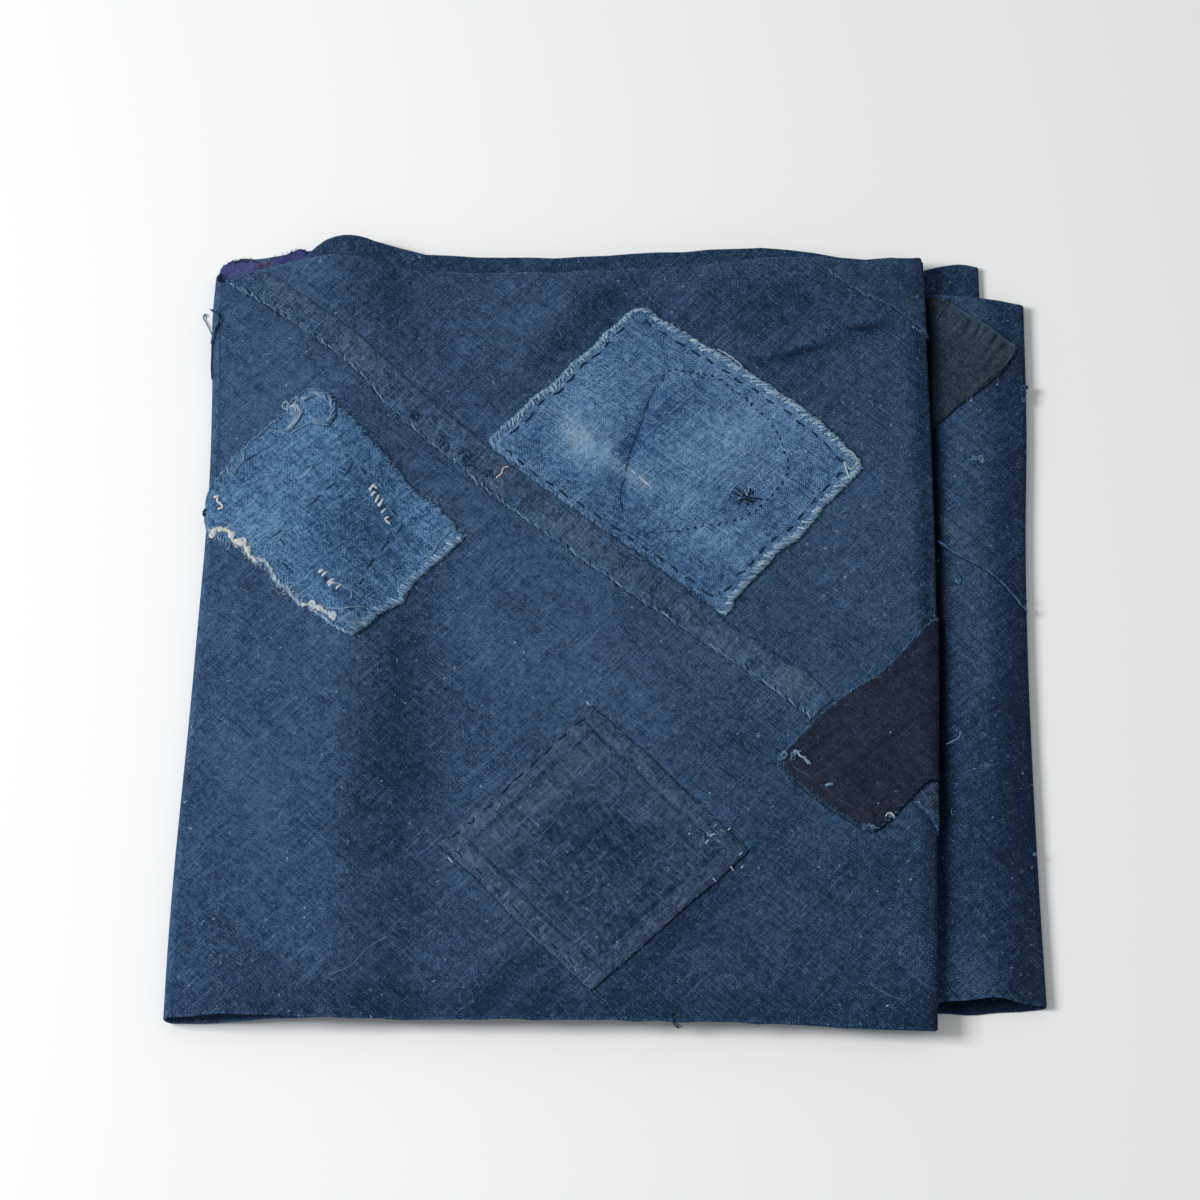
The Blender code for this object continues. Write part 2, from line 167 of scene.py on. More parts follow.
def soft_noise(x, y, size, seed, waves=12):
    """Soft random unevenness of about the given size, spread about 1 round zero."""
    draw = np.random.default_rng(seed)
    total = np.zeros(np.broadcast(x, y).shape)
    for _ in range(waves):
        turn, phase = draw.uniform(0, 2 * math.pi, 2)
        length = size * draw.uniform(0.7, 1.6)
        total += np.sin((x * math.cos(turn) + y * math.sin(turn)) * 2 * math.pi / length + phase)
    return total / math.sqrt(waves / 2)


def swell_height(swells, x, y):
    """The full lift of a table of soft swells at each place."""
    lift = np.zeros(np.broadcast(x, y).shape)
    for swell in (Swell(*row) for row in swells):
        turn = math.radians(swell.turn)
        along = (x - swell.x) * math.cos(turn) + (y - swell.y) * math.sin(turn)
        across = (y - swell.y) * math.cos(turn) - (x - swell.x) * math.sin(turn)
        lift += swell.height * np.exp(-(along / swell.length) ** 2 - (across / swell.width) ** 2)
    return lift


def layer_height(layer, x, y):
    """The height of the middle of a layer at each place."""
    lift = swell_height(SWELLS, x, y) + swell_height(CREASES, x, y)
    for size, rise, seed in CRUMPLES:
        lift += rise * soft_noise(x, y, size, seed)
    height = layer.height + layer.share * lift
    for slump in SLUMPS:
        if slump.layer is layer:
            sunk = smooth_step((x - slump.starts) / (slump.ends - slump.starts))
            height = height + (slump.height - height) * sunk
    if layer is FOURTH:
        overhang = curve_value(FIFTH.front, x) - y
        height = height + (GROUND_HEIGHT - height) * smooth_step(overhang / FRONT_SLUMP_LENGTH)
    return height


def top_middle(x, y):
    """Points on the middle of the top layer. An x past the left or the right fold is
    measured round it, onto the fold or the layer below."""
    x, y = np.broadcast_arrays(np.asarray(x, float), np.asarray(y, float))
    left = curve_value(TOP.left, y)
    right = curve_value(TOP.right, y)
    inside = np.clip(x, left, right)
    height = layer_height(TOP, inside, y)
    round_right = np.maximum(x - right, 0)
    angle = np.minimum(round_right / RIGHT_FOLD_RADIUS, math.pi)
    beyond = np.maximum(round_right - RIGHT_FOLD_RADIUS * math.pi, 0)
    low = layer_height(SECOND, right - beyond, y)
    place = inside + FOLD_DEPTHS[0] * np.sin(angle) - beyond
    height = np.where(round_right > 0, low + (height - low) * (1 + np.cos(angle)) / 2, height)
    round_left = np.maximum(left - x, 0)
    floor = layer_height(THIRD, left, y)
    radius = np.maximum((height - floor) / 2, LEAST_FOLD_RADIUS)
    angle = np.minimum(round_left / radius, math.pi)
    place = place - FOLD_DEPTHS[1] * np.sin(angle)
    height = np.where(round_left > 0, floor + (height - floor) * (1 + np.cos(angle)) / 2, height)
    return np.stack((place, y, height), axis=-1)


def third_middle(x, y):
    """Points on the middle of the third layer."""
    x, y = np.broadcast_arrays(np.asarray(x, float), np.asarray(y, float))
    return np.stack((x, y, layer_height(THIRD, x, y)), axis=-1)


def unit(vectors):
    """The vectors, each with a length of one."""
    return vectors / (np.linalg.norm(vectors, axis=-1, keepdims=True) + NEARLY_ZERO)


def lay_on(middle, x, y, lift):
    """Points at a lift above the middle of a layer, square to its surface."""
    x = np.asarray(x)
    y = np.asarray(y)
    along_x = middle(x + SLOPE_STEP, y) - middle(x - SLOPE_STEP, y)
    along_y = middle(x, y + SLOPE_STEP) - middle(x, y - SLOPE_STEP)
    return middle(x, y) + unit(np.cross(along_x, along_y)) * np.asarray(lift)[..., None]


def in_frame(points):
    """Points of the plan in the frame's metres."""
    return (np.asarray(points).reshape(-1, 3) + PLAN_SHIFT) * MM


THREAD_UP = (0.13, 0.05, 1.0)     # nearly straight up, and along no thread
TIP_LENGTH = 0.6                  # of a thread's rounded end, as a share of its radius


class Shape:
    """Gathers the points and faces of one joined mesh. Each point has its place on the
    flat cloth in millimetres, a tone from 0 for dark to 1 for pale, and a wear."""

    def __init__(self):
        self.points = []
        self.faces = []
        self.places = []
        self.tones = []
        self.wears = []
        self.count = 0

    def add(self, points, faces, places, tones, wears=0.0):
        points = np.asarray(points).reshape(-1, 3)
        self.faces += (np.asarray(faces) + self.count).tolist()
        self.points.append(points)
        self.places.append(np.asarray(places).reshape(-1, 2))
        self.tones.append(np.broadcast_to(np.asarray(tones, float).ravel(), (len(points),)))
        self.wears.append(np.broadcast_to(np.asarray(wears, float).ravel(), (len(points),)))
        self.count += len(points)

    def threads(self, paths, radius, tone, sides=5):
        """Closed threads along paths with the same number of points each. radius and
        tone are one number, one a thread, or one a point."""
        paths = np.asarray(paths, float)
        if paths.ndim == 2:
            paths = paths[None]
        number, count = paths.shape[:2]
        radius = spread_out(radius, number, count)
        tone = spread_out(tone, number, count)
        ahead = unit(np.gradient(paths, axis=1))
        side = unit(np.cross(ahead, THREAD_UP))
        up = np.cross(side, ahead)
        turns = np.arange(sides) * 2 * math.pi / sides
        ring = (side[:, :, None] * np.cos(turns)[:, None]
                + up[:, :, None] * np.sin(turns)[:, None])
        body = paths[:, :, None] + ring * radius[:, :, None, None]
        reach = radius[:, (0, -1), None] * ((-TIP_LENGTH,), (TIP_LENGTH,))
        tips = paths[:, (0, -1)] + ahead[:, (0, -1)] * reach
        points = np.concatenate((body.reshape(number, -1, 3), tips), axis=1)
        row = np.arange(count - 1)[:, None] * sides
        near = row + np.arange(sides)
        beside = row + (np.arange(sides) + 1) % sides
        tube = np.stack((near, near + sides, beside + sides, beside), axis=-1).reshape(-1, 4)
        start = count * sides
        first = np.arange(sides)
        second = (first + 1) % sides
        last = (count - 1) * sides
        near_cap = np.stack((first, second, np.full(sides, start)), axis=-1)
        far_cap = np.stack((second + last, first + last, np.full(sides, start + 1)), axis=-1)
        shift = np.arange(number)[:, None, None] * (start + 2)
        caps = np.concatenate((near_cap, far_cap))
        length = np.cumsum(np.linalg.norm(np.diff(paths, axis=1, prepend=paths[:, :1]), axis=2),
                           axis=1)
        around = np.broadcast_to(turns, (number, count, sides))
        along = np.broadcast_to(length[:, :, None], (number, count, sides))
        places = np.stack((along, around), axis=-1).reshape(number, -1, 2)
        ends = np.stack((length[:, (0, -1)], np.zeros((number, 2))), axis=-1)
        tones = np.concatenate((np.repeat(tone, sides, axis=1), tone[:, (0, -1)]), axis=1)
        base = self.count
        self.add(points, (tube[None] + shift).reshape(-1, 4),
                 np.concatenate((places, ends), axis=1), tones)
        self.faces += (caps[None] + shift + base).reshape(-1, 3).tolist()

    def build(self, name, material, slot):
        """The gathered mesh as a piece that rides on the one body."""
        mesh = bpy.data.meshes.new(name)
        points = in_frame(np.concatenate(self.points))
        mesh.from_pydata(points.tolist(), [], self.faces)
        places = np.concatenate(self.places) * MM
        loops = np.empty(len(mesh.loops), dtype=np.int32)
        mesh.loops.foreach_get("vertex_index", loops)
        layer = mesh.uv_layers.new(name="weave")
        layer.data.foreach_set("uv", places[loops].astype(np.float32).ravel())
        for label, values in (("tone", self.tones), ("wear", self.wears)):
            attribute = mesh.attributes.new(label, "FLOAT", "POINT")
            attribute.data.foreach_set("value", np.concatenate(values).astype(np.float32))
        mesh.shade_smooth()
        mesh.materials.append(material)
        piece = bpy.data.objects.new(name, mesh)
        bpy.context.scene.collection.objects.link(piece)
        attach(piece, "root")
        return piece


def spread_out(value, number, count):
    """One number, one a thread or one a point, as an array of one a point."""
    value = np.asarray(value, float)
    if value.ndim == 1 and len(value) == number:
        value = value[:, None]
    return np.broadcast_to(value, (number, count))


def closed_sheet(shape, middle, normals, up, down, places, tones, wears):
    """Add a closed sheet to a shape: its upper and lower faces at two distances along
    the normals, and a rounded rim."""
    columns, rows = middle.shape[:2]
    upper = middle + normals * np.asarray(up)[..., None]
    lower = middle + normals * np.asarray(down)[..., None]
    grid = np.arange(columns * rows).reshape(columns, rows)
    a, b, c, d = grid[:-1, :-1], grid[1:, :-1], grid[1:, 1:], grid[:-1, 1:]
    quads = np.stack((a, b, c, d), axis=-1).reshape(-1, 4)
    total = columns * rows
    border = np.concatenate((grid[:, 0], grid[-1, 1:], grid[-2::-1, -1], grid[0, -2:0:-1]))
    inner = np.concatenate((grid[:, 1], grid[-2, 1:], grid[-2::-1, -2], grid[1, -2:0:-1]))
    flat_upper = upper.reshape(-1, 3)
    flat_lower = lower.reshape(-1, 3)
    centre = (flat_upper[border] + flat_lower[border]) / 2
    outward = unit(centre - (flat_upper[inner] + flat_lower[inner]) / 2)
    thickness = np.linalg.norm(flat_upper[border] - flat_lower[border], axis=1, keepdims=True)
    bulge = centre + outward * thickness / 2
    count = len(border)
    ring = np.arange(count) + 2 * total
    after = np.roll(np.arange(count), -1)
    top_band = np.stack((border, ring, ring[after], border[after]), axis=-1)
    low_band = np.stack((ring, border + total, border[after] + total, ring[after]), axis=-1)
    faces = np.concatenate((quads, quads[:, ::-1] + total, top_band, low_band))
    places = np.asarray(places).reshape(-1, 2)
    tones = np.broadcast_to(tones, (columns, rows)).ravel()
    wears = np.broadcast_to(wears, (columns, rows)).ravel()
    shape.add(
        np.concatenate((flat_upper, flat_lower, bulge)), faces,
        np.concatenate((places, places, places[border])),
        np.concatenate((tones, tones, tones[border])),
        np.concatenate((wears, wears, wears[border])))


def grid_normals(points):
    """The normals of a grid of points, out of the face that its columns and rows turn up."""
    along = np.gradient(points, axis=0)
    across = np.gradient(points, axis=1)
    normals = np.cross(along, across)
    return normals / np.linalg.norm(normals, axis=2, keepdims=True)


# Where the cloth is paler (above zero) or darker (below zero), from its dye and from painted light
# and shade, and where the cloth is worn brown. The same form as a swell, with the height as the
# amount.
# On the top layer, painted shade darkens the crease troughs at (-96, -70), (-103, 165), (-16, 152),
# (88, 140.6), (121.3, 155), (-45, -182), (34, -155), (-26, -188) and (-20, -158). A painted
# highlight lightens the ridges beside them at (87, 144.6) and (120.5, 158.8). Painted shade also
# darkens the band along the front edge at y -196 and the band along the right fold at x 147. The
# other rows are dye.
TOP_DYE_AND_PAINTED_SHADING = (
    (-160, 10, 200, 30, 92, 0.10), (-96, -70, 120, 17, 92, -0.40), (-103, 165, 30, 18, 95, -0.30),
    (-165, 110, 50, 26, 90, 0.13), (0, 40, 110, 50, -5, 0.05), (-10, -40, 90, 30, -38, 0.12),
    (-16, 152, 46, 13, 48, -0.32), (110, 160, 60, 34, 0, -0.18), (120, -150, 90, 50, 0, -0.20),
    (0, -196, 300, 17, 0, -0.34), (70, 168, 60, 16, 20, -0.12), (100, 144, 40, 7, 19, -0.12),
    (88, 140.6, 17, 2.4, 18.3, -0.60), (87, 144.6, 17, 2.2, 18.3, 0.30),
    (121.3, 155, 10, 2.4, 12, -0.60), (120.5, 158.8, 10, 2.2, 12, 0.26),
    (118, 22, 60, 12, 48, 0.10), (90, -5, 60, 14, 45, -0.10), (-45, -182, 22, 4.5, 52, -0.34),
    (-60, -120, 34, 20, 45, 0.15), (34, -155, 50, 9, 48, -0.22), (70, -165, 60, 12, 45, 0.08),
    (-46, 130, 40, 22, 60, 0.08), (-150, 120, 30, 20, 40, -0.06), (-165, -160, 60, 26, 0, -0.06),
    (60, -80, 40, 18, -40, -0.06), (-120, -20, 20, 12, 0, 0.06), (147, 0, 400, 5, 90, -0.42),
    (-26, -188, 15, 4, 58, -0.30), (-20, -158, 22, 6, 47, -0.24),
)
# Painted shade: the second layer is darkened where it shows behind the top layer's back edge.
SECOND_PAINTED_SHADE = ((0, 200, 500, 40, 0, -0.30),)
# On the third layer, the row at x 151.9 is a painted shadow cast by the top layer's right fold,
# dark enough to go below zero. The row at x 194 is painted shade on the right fold, which turns
# away from the light. The other rows are dye.
THIRD_DYE_AND_PAINTED_SHADE = (
    (194, 0, 400, 14, 90, -0.46), (151.9, 30, 155, 4.3, 90, -1.8), (174, -90, 130, 30, 90, -0.32),
    (172, 60, 60, 22, 90, 0.06), (170, 20, 90, 6, 90, 0.10), (171, -60, 70, 6, 90, 0.12),
    (160, 49, 10, 6, -25, 0.22),
)
# Painted shade: the fourth layer is darkened inside the opening at the front of the right-hand
# fold.
FOURTH_PAINTED_SHADE = ((172, -186, 60, 9, 0, -0.9),)
FIFTH_TONES = ((162, 186, 40, 18, 0, -0.40),)
THIRD_WEARS = (
    (159, 49, 10, 7, -25, 0.6), (176, 30, 16, 5, -36, 0.3),
)
TOP_WEARS = (
    (-164, 168, 12, 8, -30, 0.35), (-122, 128, 40, 7, -42, 0.25), (86, -34, 9, 6, -38, 0.45),
    (-150, 150, 18, 6, -38, 0.2), (-30, -150, 30, 14, 45, 0.12), (0, -22, 40, 12, -38, 0.10),
    (-140, 60, 90, 14, 50, 0.08), (40, -25, 40, 9, -38, 0.12),
)
LAYER_TONES = {TOP: TOP_DYE_AND_PAINTED_SHADING, SECOND: SECOND_PAINTED_SHADE, THIRD: THIRD_DYE_AND_PAINTED_SHADE,
               FOURTH: FOURTH_PAINTED_SHADE, FIFTH: FIFTH_TONES}
LAYER_WEARS = {TOP: TOP_WEARS, THIRD: THIRD_WEARS}
BASE_TONE = 0.5

# The fine sheet.
ROW_COUNT = 138
EVEN_ROWS = 0.8          # the share of even steps between the rows
CROWDED_ROWS = 0.2       # the share of steps that shorten towards the edges
EDGE_SHARE = 0.0024      # of the way across, from an edge to the row beside it
EDGE_WEAR_AND_HIGHLIGHT = 0.22         # how much paler the edges of the cloth are: partly wear, partly a painted highlight on the rims
FRONT_WAVES = (0.18, 17, 21)     # height, size and seed of an edge's small waves
BACK_WAVES = (0.30, 23, 22)
PLAN_FRONT = -192        # about where the rows start, before they move to the edges
PLAN_DEPTH = 385
EDGE_ROUNDS = 4          # of moving the rows to the edges
FINE_STEP = 2.8          # between columns where the cloth shows
HIDDEN_STEP = 12.5       # between columns inside the packet
FOLD_STEPS = 9
WIDE_FOLD = 3.0          # the depth from which a fold has more steps
WIDE_FOLD_STEPS = 16


def row_shares():
    """Shares of the way from the front edge to the back, with one row close to each edge."""
    even = np.linspace(0, 1, ROW_COUNT - 2)
    even = EVEN_ROWS * even + CROWDED_ROWS * (0.5 - 0.5 * np.cos(math.pi * even))
    return np.concatenate(([0], [EDGE_SHARE], even[1:-1], [1 - EDGE_SHARE], [1]))


def edge_line(table, x, waves):
    """The front or the back edge of a layer, with small waves."""
    rise, size, seed = waves
    return curve_value(table, x) + rise * soft_noise(x, x * 0, size, seed)


def layer_columns(layer, ranges):
    """The columns of a layer as points; ranges are (from x, to x, step) in order."""
    left = float(np.mean([x for _, x in layer.left]))
    right = float(np.mean([x for _, x in layer.right]))
    stations = []
    for start, end, step in ranges:
        count = max(int(round((end - start) / step)), 1)
        stations += list(np.linspace(start, end, count, endpoint=False))
    stations.append(ranges[-1][1])
    shares = (np.array(stations) - left) / (right - left)
    shares[0] = 0.0
    shares[-1] = 1.0
    shares = np.clip(shares, 0, 1)[:, None]
    rows = row_shares()[None, :]
    y = rows * PLAN_DEPTH + PLAN_FRONT + shares * 0
    for _ in range(EDGE_ROUNDS):
        left_fold = curve_value(layer.left, y)
        x = left_fold + shares * (curve_value(layer.right, y) - left_fold)
        front = edge_line(layer.front, x, FRONT_WAVES)
        back = edge_line(layer.back, x, BACK_WAVES)
        y = front + (back - front) * rows
    return np.stack((x, y, layer_height(layer, x, y)), axis=-1)


COLUMN_RANGES = {
    SECOND: ((-152, -120, 4.0), (-120, 147.5, HIDDEN_STEP)),
    TOP: ((-191, 147.5, FINE_STEP),),
    THIRD: ((-191, -140, 4.0), (-140, 138, HIDDEN_STEP), (138, 195, FINE_STEP)),
    FOURTH: ((-138, 140, HIDDEN_STEP), (140, 195, 5.0)),
    FIFTH: ((-138, 140, HIDDEN_STEP), (140, 175.4, 4.0)),
    BOTTOM: ((-128, 175.4, HIDDEN_STEP),),
}


def fold_columns(start, end, side, depth, steps):
    """The columns round a fold between the end columns of two layers."""
    angle = (np.arange(1, steps) * math.pi / steps)[:, None]
    share = (1 - np.cos(angle)) / 2
    points = start[None] + (end - start)[None] * share[..., None]
    points[:, :, 0] += side * depth * np.sin(angle)
    return points


def build_sheet(material):
    """The one sheet of cloth, with its place on the flat cloth, tones and wear."""
    blocks = []
    tones = []
    wears = []
    top_range = None
    done = 0
    for number, (layer, direction) in enumerate(SECTION):
        own = layer_columns(layer, COLUMN_RANGES[layer])[::direction]
        x, y = own[..., 0], own[..., 1]
        tone = BASE_TONE + swell_height(LAYER_TONES.get(layer, ()), x, y)
        # The edge rows are paler: wear, and a painted highlight on the rims.
        tone[:, (0, -1)] += EDGE_WEAR_AND_HIGHLIGHT
        wear = swell_height(LAYER_WEARS.get(layer, ()), x, y)
        if number:
            depth = FOLD_DEPTHS[number - 1]
            steps = WIDE_FOLD_STEPS if depth > WIDE_FOLD else FOLD_STEPS
            fold = fold_columns(blocks[-1][-1], own[0], SECTION[number - 1][1], depth, steps)
            blocks.append(fold)
            share = np.linspace(0, 1, len(fold))[:, None]
            tones.append(tones[-1][-1] * (1 - share) + tone[0] * share)
            wears.append(wears[-1][-1] * (1 - share) + wear[0] * share)
            done += len(fold)
        if layer is TOP:
            top_range = (done, done + len(own) - 1)
        blocks.append(own)
        tones.append(tone)
        wears.append(wear)
        done += len(own)
    points = np.concatenate(blocks)
    steps = np.linalg.norm(np.diff(points, axis=0), axis=2)
    length = np.concatenate((np.zeros((1, ROW_COUNT)), np.cumsum(steps, axis=0)))
    first, last = top_range
    unrolled = points[first, :, 0] - (length - length[first])
    unrolled[first:last + 1] = points[first:last + 1, :, 0]
    places = np.stack((unrolled, points[:, :, 1]), axis=-1)
    half = CLOTH_THICKNESS / 2
    shape = Shape()
    closed_sheet(shape, points, grid_normals(points), half, -half, places,
                 np.concatenate(tones), np.concatenate(wears))
    sheet = shape.build("cloth_sheet", material, "cloth")
    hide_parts("folded_cloth")
    depth = float(np.mean(points[:, -1, 1] - points[:, 0, 1]))
    return sheet, (depth * MM, float(length[-1].mean()) * MM)


# The patches. Each has four sides, from its corners west, south, north and east.
# A patch's tones are its dye, and on some patches also painted light and shade on its creases.
Patch = namedtuple("Patch", "name node slot middle west_south north_east west_north south_east "
                            "lift thickness hem cell jitter creases tones wears hem_tone hem_wear "
                            "hem_line", defaults=((), (), (), 0.0, 0.0, 0.0))
Sewn = namedtuple("Sewn", "piece slot grid surface flat area")

FRAYED = Patch(
    name="frayed_patch", node="patch_frayed", slot="frayed", middle=top_middle,
    west_south=((-195.9, 52.4), (-194.2, 44.9), (-190.2, 37.5), (-186, 35.8), (-179.9, 32.4),
                (-172, 27.3), (-164.4, 21), (-160.5, 16.6), (-157.6, 11.8), (-149.2, 6),
                (-140.8, -0.2), (-135.2, -4), (-128.7, -9.3), (-122, -13.6)),
    north_east=((-146.2, 116), (-141.5, 115), (-137.3, 112), (-134.8, 108.4), (-126.6, 100.8),
                (-112.1, 83.7), (-100.6, 69.6), (-93.9, 60.6), (-82.7, 53.3), (-77.1, 46.9),
                (-70.9, 38.5)),
    west_north=((-195.9, 52.4), (-194.2, 59), (-187.2, 70.2), (-177.5, 83.1), (-167.6, 95),
                (-158, 103.9), (-151.9, 109.7), (-148.9, 114.4), (-146.2, 116)),
    south_east=((-122, -13.6), (-115.4, -7.6), (-111.1, -3.1), (-106, 1.3), (-98.9, 4.7),
                (-95.7, 12.8), (-89.6, 19.8), (-84.4, 24.8), (-74.8, 33.9), (-70.9, 38.5)),
    lift=0.62, thickness=0.75, hem=5.0, cell=1.2, jitter=0.35,
    creases=((-150, 60, 30, 9, 50, 0.35), (-121, 44, 22, 14, 45, -0.25),
             (-103, 18, 16, 5, 130, 0.4), (-128, 2, 14, 4, 140, 0.45), (-170, 50, 22, 7, 52, 0.3),
             (-95, 50, 20, 6, 130, 0.3), (-145, 105, 10, 5, 60, 0.4), (-136, 25, 14, 5, 100, 0.3)),
    # Painted shade in the crease trough at (-125, 42) and painted light on the ridge at (-150, 62);
    # the other tones are dye.
    tones=((-125, 42, 26, 24, 48, -0.26), (-150, 62, 30, 16, 50, 0.12),
           (-140, 88, 16, 10, 45, -0.06), (-165, 45, 18, 12, 50, 0.06),
           (-90, 48, 20, 8, -45, 0.05), (-125, 5, 16, 8, -40, -0.15),
           (-112, 78, 20, 6, -48, -0.08)),
    hem_tone=0.02,
)
FADED = Patch(
    name="faded_patch", node="patch_faded", slot="faded", middle=top_middle,
    west_south=((-60.4, 89.6), (-59, 86.2), (-48.2, 76.6), (-35.5, 66.4), (-19, 53.6),
                (-0.3, 40.3), (18.4, 27), (38.2, 11.2), (52.3, 0.7)),
    north_east=((8, 161.5), (13, 162.4), (24.7, 154.2), (33.6, 148.6), (42.5, 141.5),
                (48.8, 138.5), (60.2, 130.1), (74, 120), (86.6, 111), (99, 100), (107.7, 90.4),
                (115, 82.1), (117.5, 78)),
    west_north=((-60.4, 89.6), (-54.9, 95.7), (-47.6, 103.2), (-40.3, 111.7), (-29.2, 121.5),
                (-20.6, 132.6), (-11.9, 140.3), (-4.5, 149.4), (2.4, 156.7), (8, 161.5)),
    south_east=((52.3, 0.7), (54.7, 4.1), (61.5, 15.6), (70.1, 25.2), (78.7, 35.5),
                (88.6, 43.1), (98.6, 57), (109.9, 69.3), (117.5, 78)),
    lift=0.62, thickness=0.7, hem=5.2, cell=1.4, jitter=0.3,
    creases=((14, 106, 22, 2.4, 72, -0.75), (6, 78, 20, 2.4, 80, -0.8), (22, 98, 40, 8, 74, 0.45),
             (-6, 84, 36, 9, 76, 0.35), (4, 58, 14, 3, 95, -0.4), (35, 112, 30, 4, 40, -0.35),
             (26, 118, 30, 5, 42, 0.3), (60, 60, 12, 6, 20, -0.5), (44, 66, 26, 7, 20, 0.3),
             (84, 92, 22, 5, 100, 0.3), (70, 52, 26, 5, 40, 0.3), (10, 140, 24, 6, 45, 0.25)),
    # Painted shade along the crease troughs at (15, 110), (8, 88), (4, 66) and (2, 78); the other
    # tones are dye.
    tones=((-18, 90, 14, 7, -50, 0.50), (-27, 100, 22, 12, 50, 0.14),
           (15, 110, 14, 1.6, 66, -0.22), (8, 88, 12, 1.6, 74, -0.22), (4, 66, 14, 1.6, 86, -0.22),
           (36, 86, 26, 14, 40, 0.18), (64, 100, 20, 10, 40, 0.14), (-2, 80, 16, 6, -38, 0.22),
           (10, 72, 12, 5, -35, 0.16), (34, 60, 14, 7, 20, 0.14), (2, 78, 24, 6, 75, -0.22),
           (18, 100, 24, 9, 40, -0.16), (0, 138, 20, 14, 45, -0.10), (10, 38, 24, 12, -36, -0.18),
           (46, 22, 20, 14, -36, -0.15), (92, 68, 18, 14, 45, -0.20), (60, 62, 9, 6, 30, -0.20),
           (20, 148, 14, 6, -40, -0.08), (80, 108, 20, 5, -38, 0.10), (50, 128, 24, 6, -36, 0.08),
           (-42, 88, 16, 9, 50, -0.22), (-14, 62, 20, 7, -38, -0.14), (50, 40, 12, 6, 30, 0.12)),
    wears=((4, 74, 14, 3, -35, 0.25), (-16, 96, 12, 5, -40, 0.15)),
    hem_tone=0.04,
)
HEMMED = Patch(
    name="hemmed_patch", node="patch_hemmed", slot="hemmed", middle=top_middle,
    west_south=((-77.6, -115.2), (-58, -133), (-38, -154.5), (-22, -169), (-7, -183.7)),
    north_east=((-9.5, -47), (8, -62.5), (27, -81), (46, -99.5), (63.2, -116.2)),
    west_north=((-77.6, -115.2), (-58, -96.5), (-40, -77), (-24, -61.5), (-9.5, -47)),
    south_east=((-7, -183.7), (12, -166), (30, -148), (47, -132), (63.2, -116.2)),
    lift=0.6, thickness=0.8, hem=9.5, cell=1.3, jitter=0.08,
    creases=((-30, -128, 30, 6, 45, 0.3), (0, -112, 34, 12, 10, 0.4), (-4, -124, 34, 5, 10, -0.35),
             (20, -100, 24, 6, 130, 0.3), (-20, -85, 26, 5, 45, -0.25), (28, -132, 24, 6, 50, 0.3)),
    tones=((-30, -92, 40, 7, 44, 0.16), (-58, -108, 16, 12, 44, 0.18), (22, -88, 30, 6, -44, 0.12),
           (0, -118, 34, 20, 10, -0.16), (-14, -66, 14, 8, 0, 0.12), (-40, -142, 34, 6, -44, 0.12),
           (12, -104, 24, 5, 40, 0.08), (50, -112, 12, 10, 0, -0.12),
           (-24, -108, 30, 4, 44, -0.14), (14, -160, 30, 5, 44, 0.05),
           (-8, -148, 20, 12, 0, -0.08)),
    wears=((-26, -86, 34, 8, 44, 0.25), (26, -92, 20, 6, -44, 0.25), (36, -140, 22, 7, 44, 0.3),
           (-36, -150, 30, 5, -44, 0.15), (-50, -120, 16, 6, 30, 0.15)),
    hem_tone=0.09, hem_line=0.30,
)
DARK = Patch(
    name="dark_patch", node="patch_dark", slot="dark", middle=top_middle,
    west_south=((77.6, -70.4), (79, -74.5), (82.2, -79.6), (92, -88.5), (102.6, -96.4),
                (113, -103), (119.9, -106.3)),
    north_east=((158, 4), (158, -38), (158, -80)),
    west_north=((77.6, -70.4), (84.7, -62), (94, -51.5), (104.7, -41.5), (118, -32), (129, -23.6),
                (140, -10.5), (149, 0), (158, 4)),
    south_east=((119.9, -106.3), (125, -103.5), (136.6, -90.7), (144.5, -81.6), (149, -78.6),
                (158, -80)),
    lift=0.6, thickness=0.7, hem=4.0, cell=1.2, jitter=0.25,
    creases=((122, -62, 40, 5, 40, 0.3), (100, -78, 22, 5, 20, 0.25), (136, -46, 30, 6, 70, 0.3),
             (112, -88, 20, 4, 50, -0.25)),
    tones=((126, -50, 40, 20, 40, 0.06), (90, -80, 16, 8, -30, 0.05)),
    wears=((96, -85, 26, 6, -38, 0.35), (122, -96, 10, 8, 30, 0.35), (108, -44, 40, 5, 40, 0.15)),
)
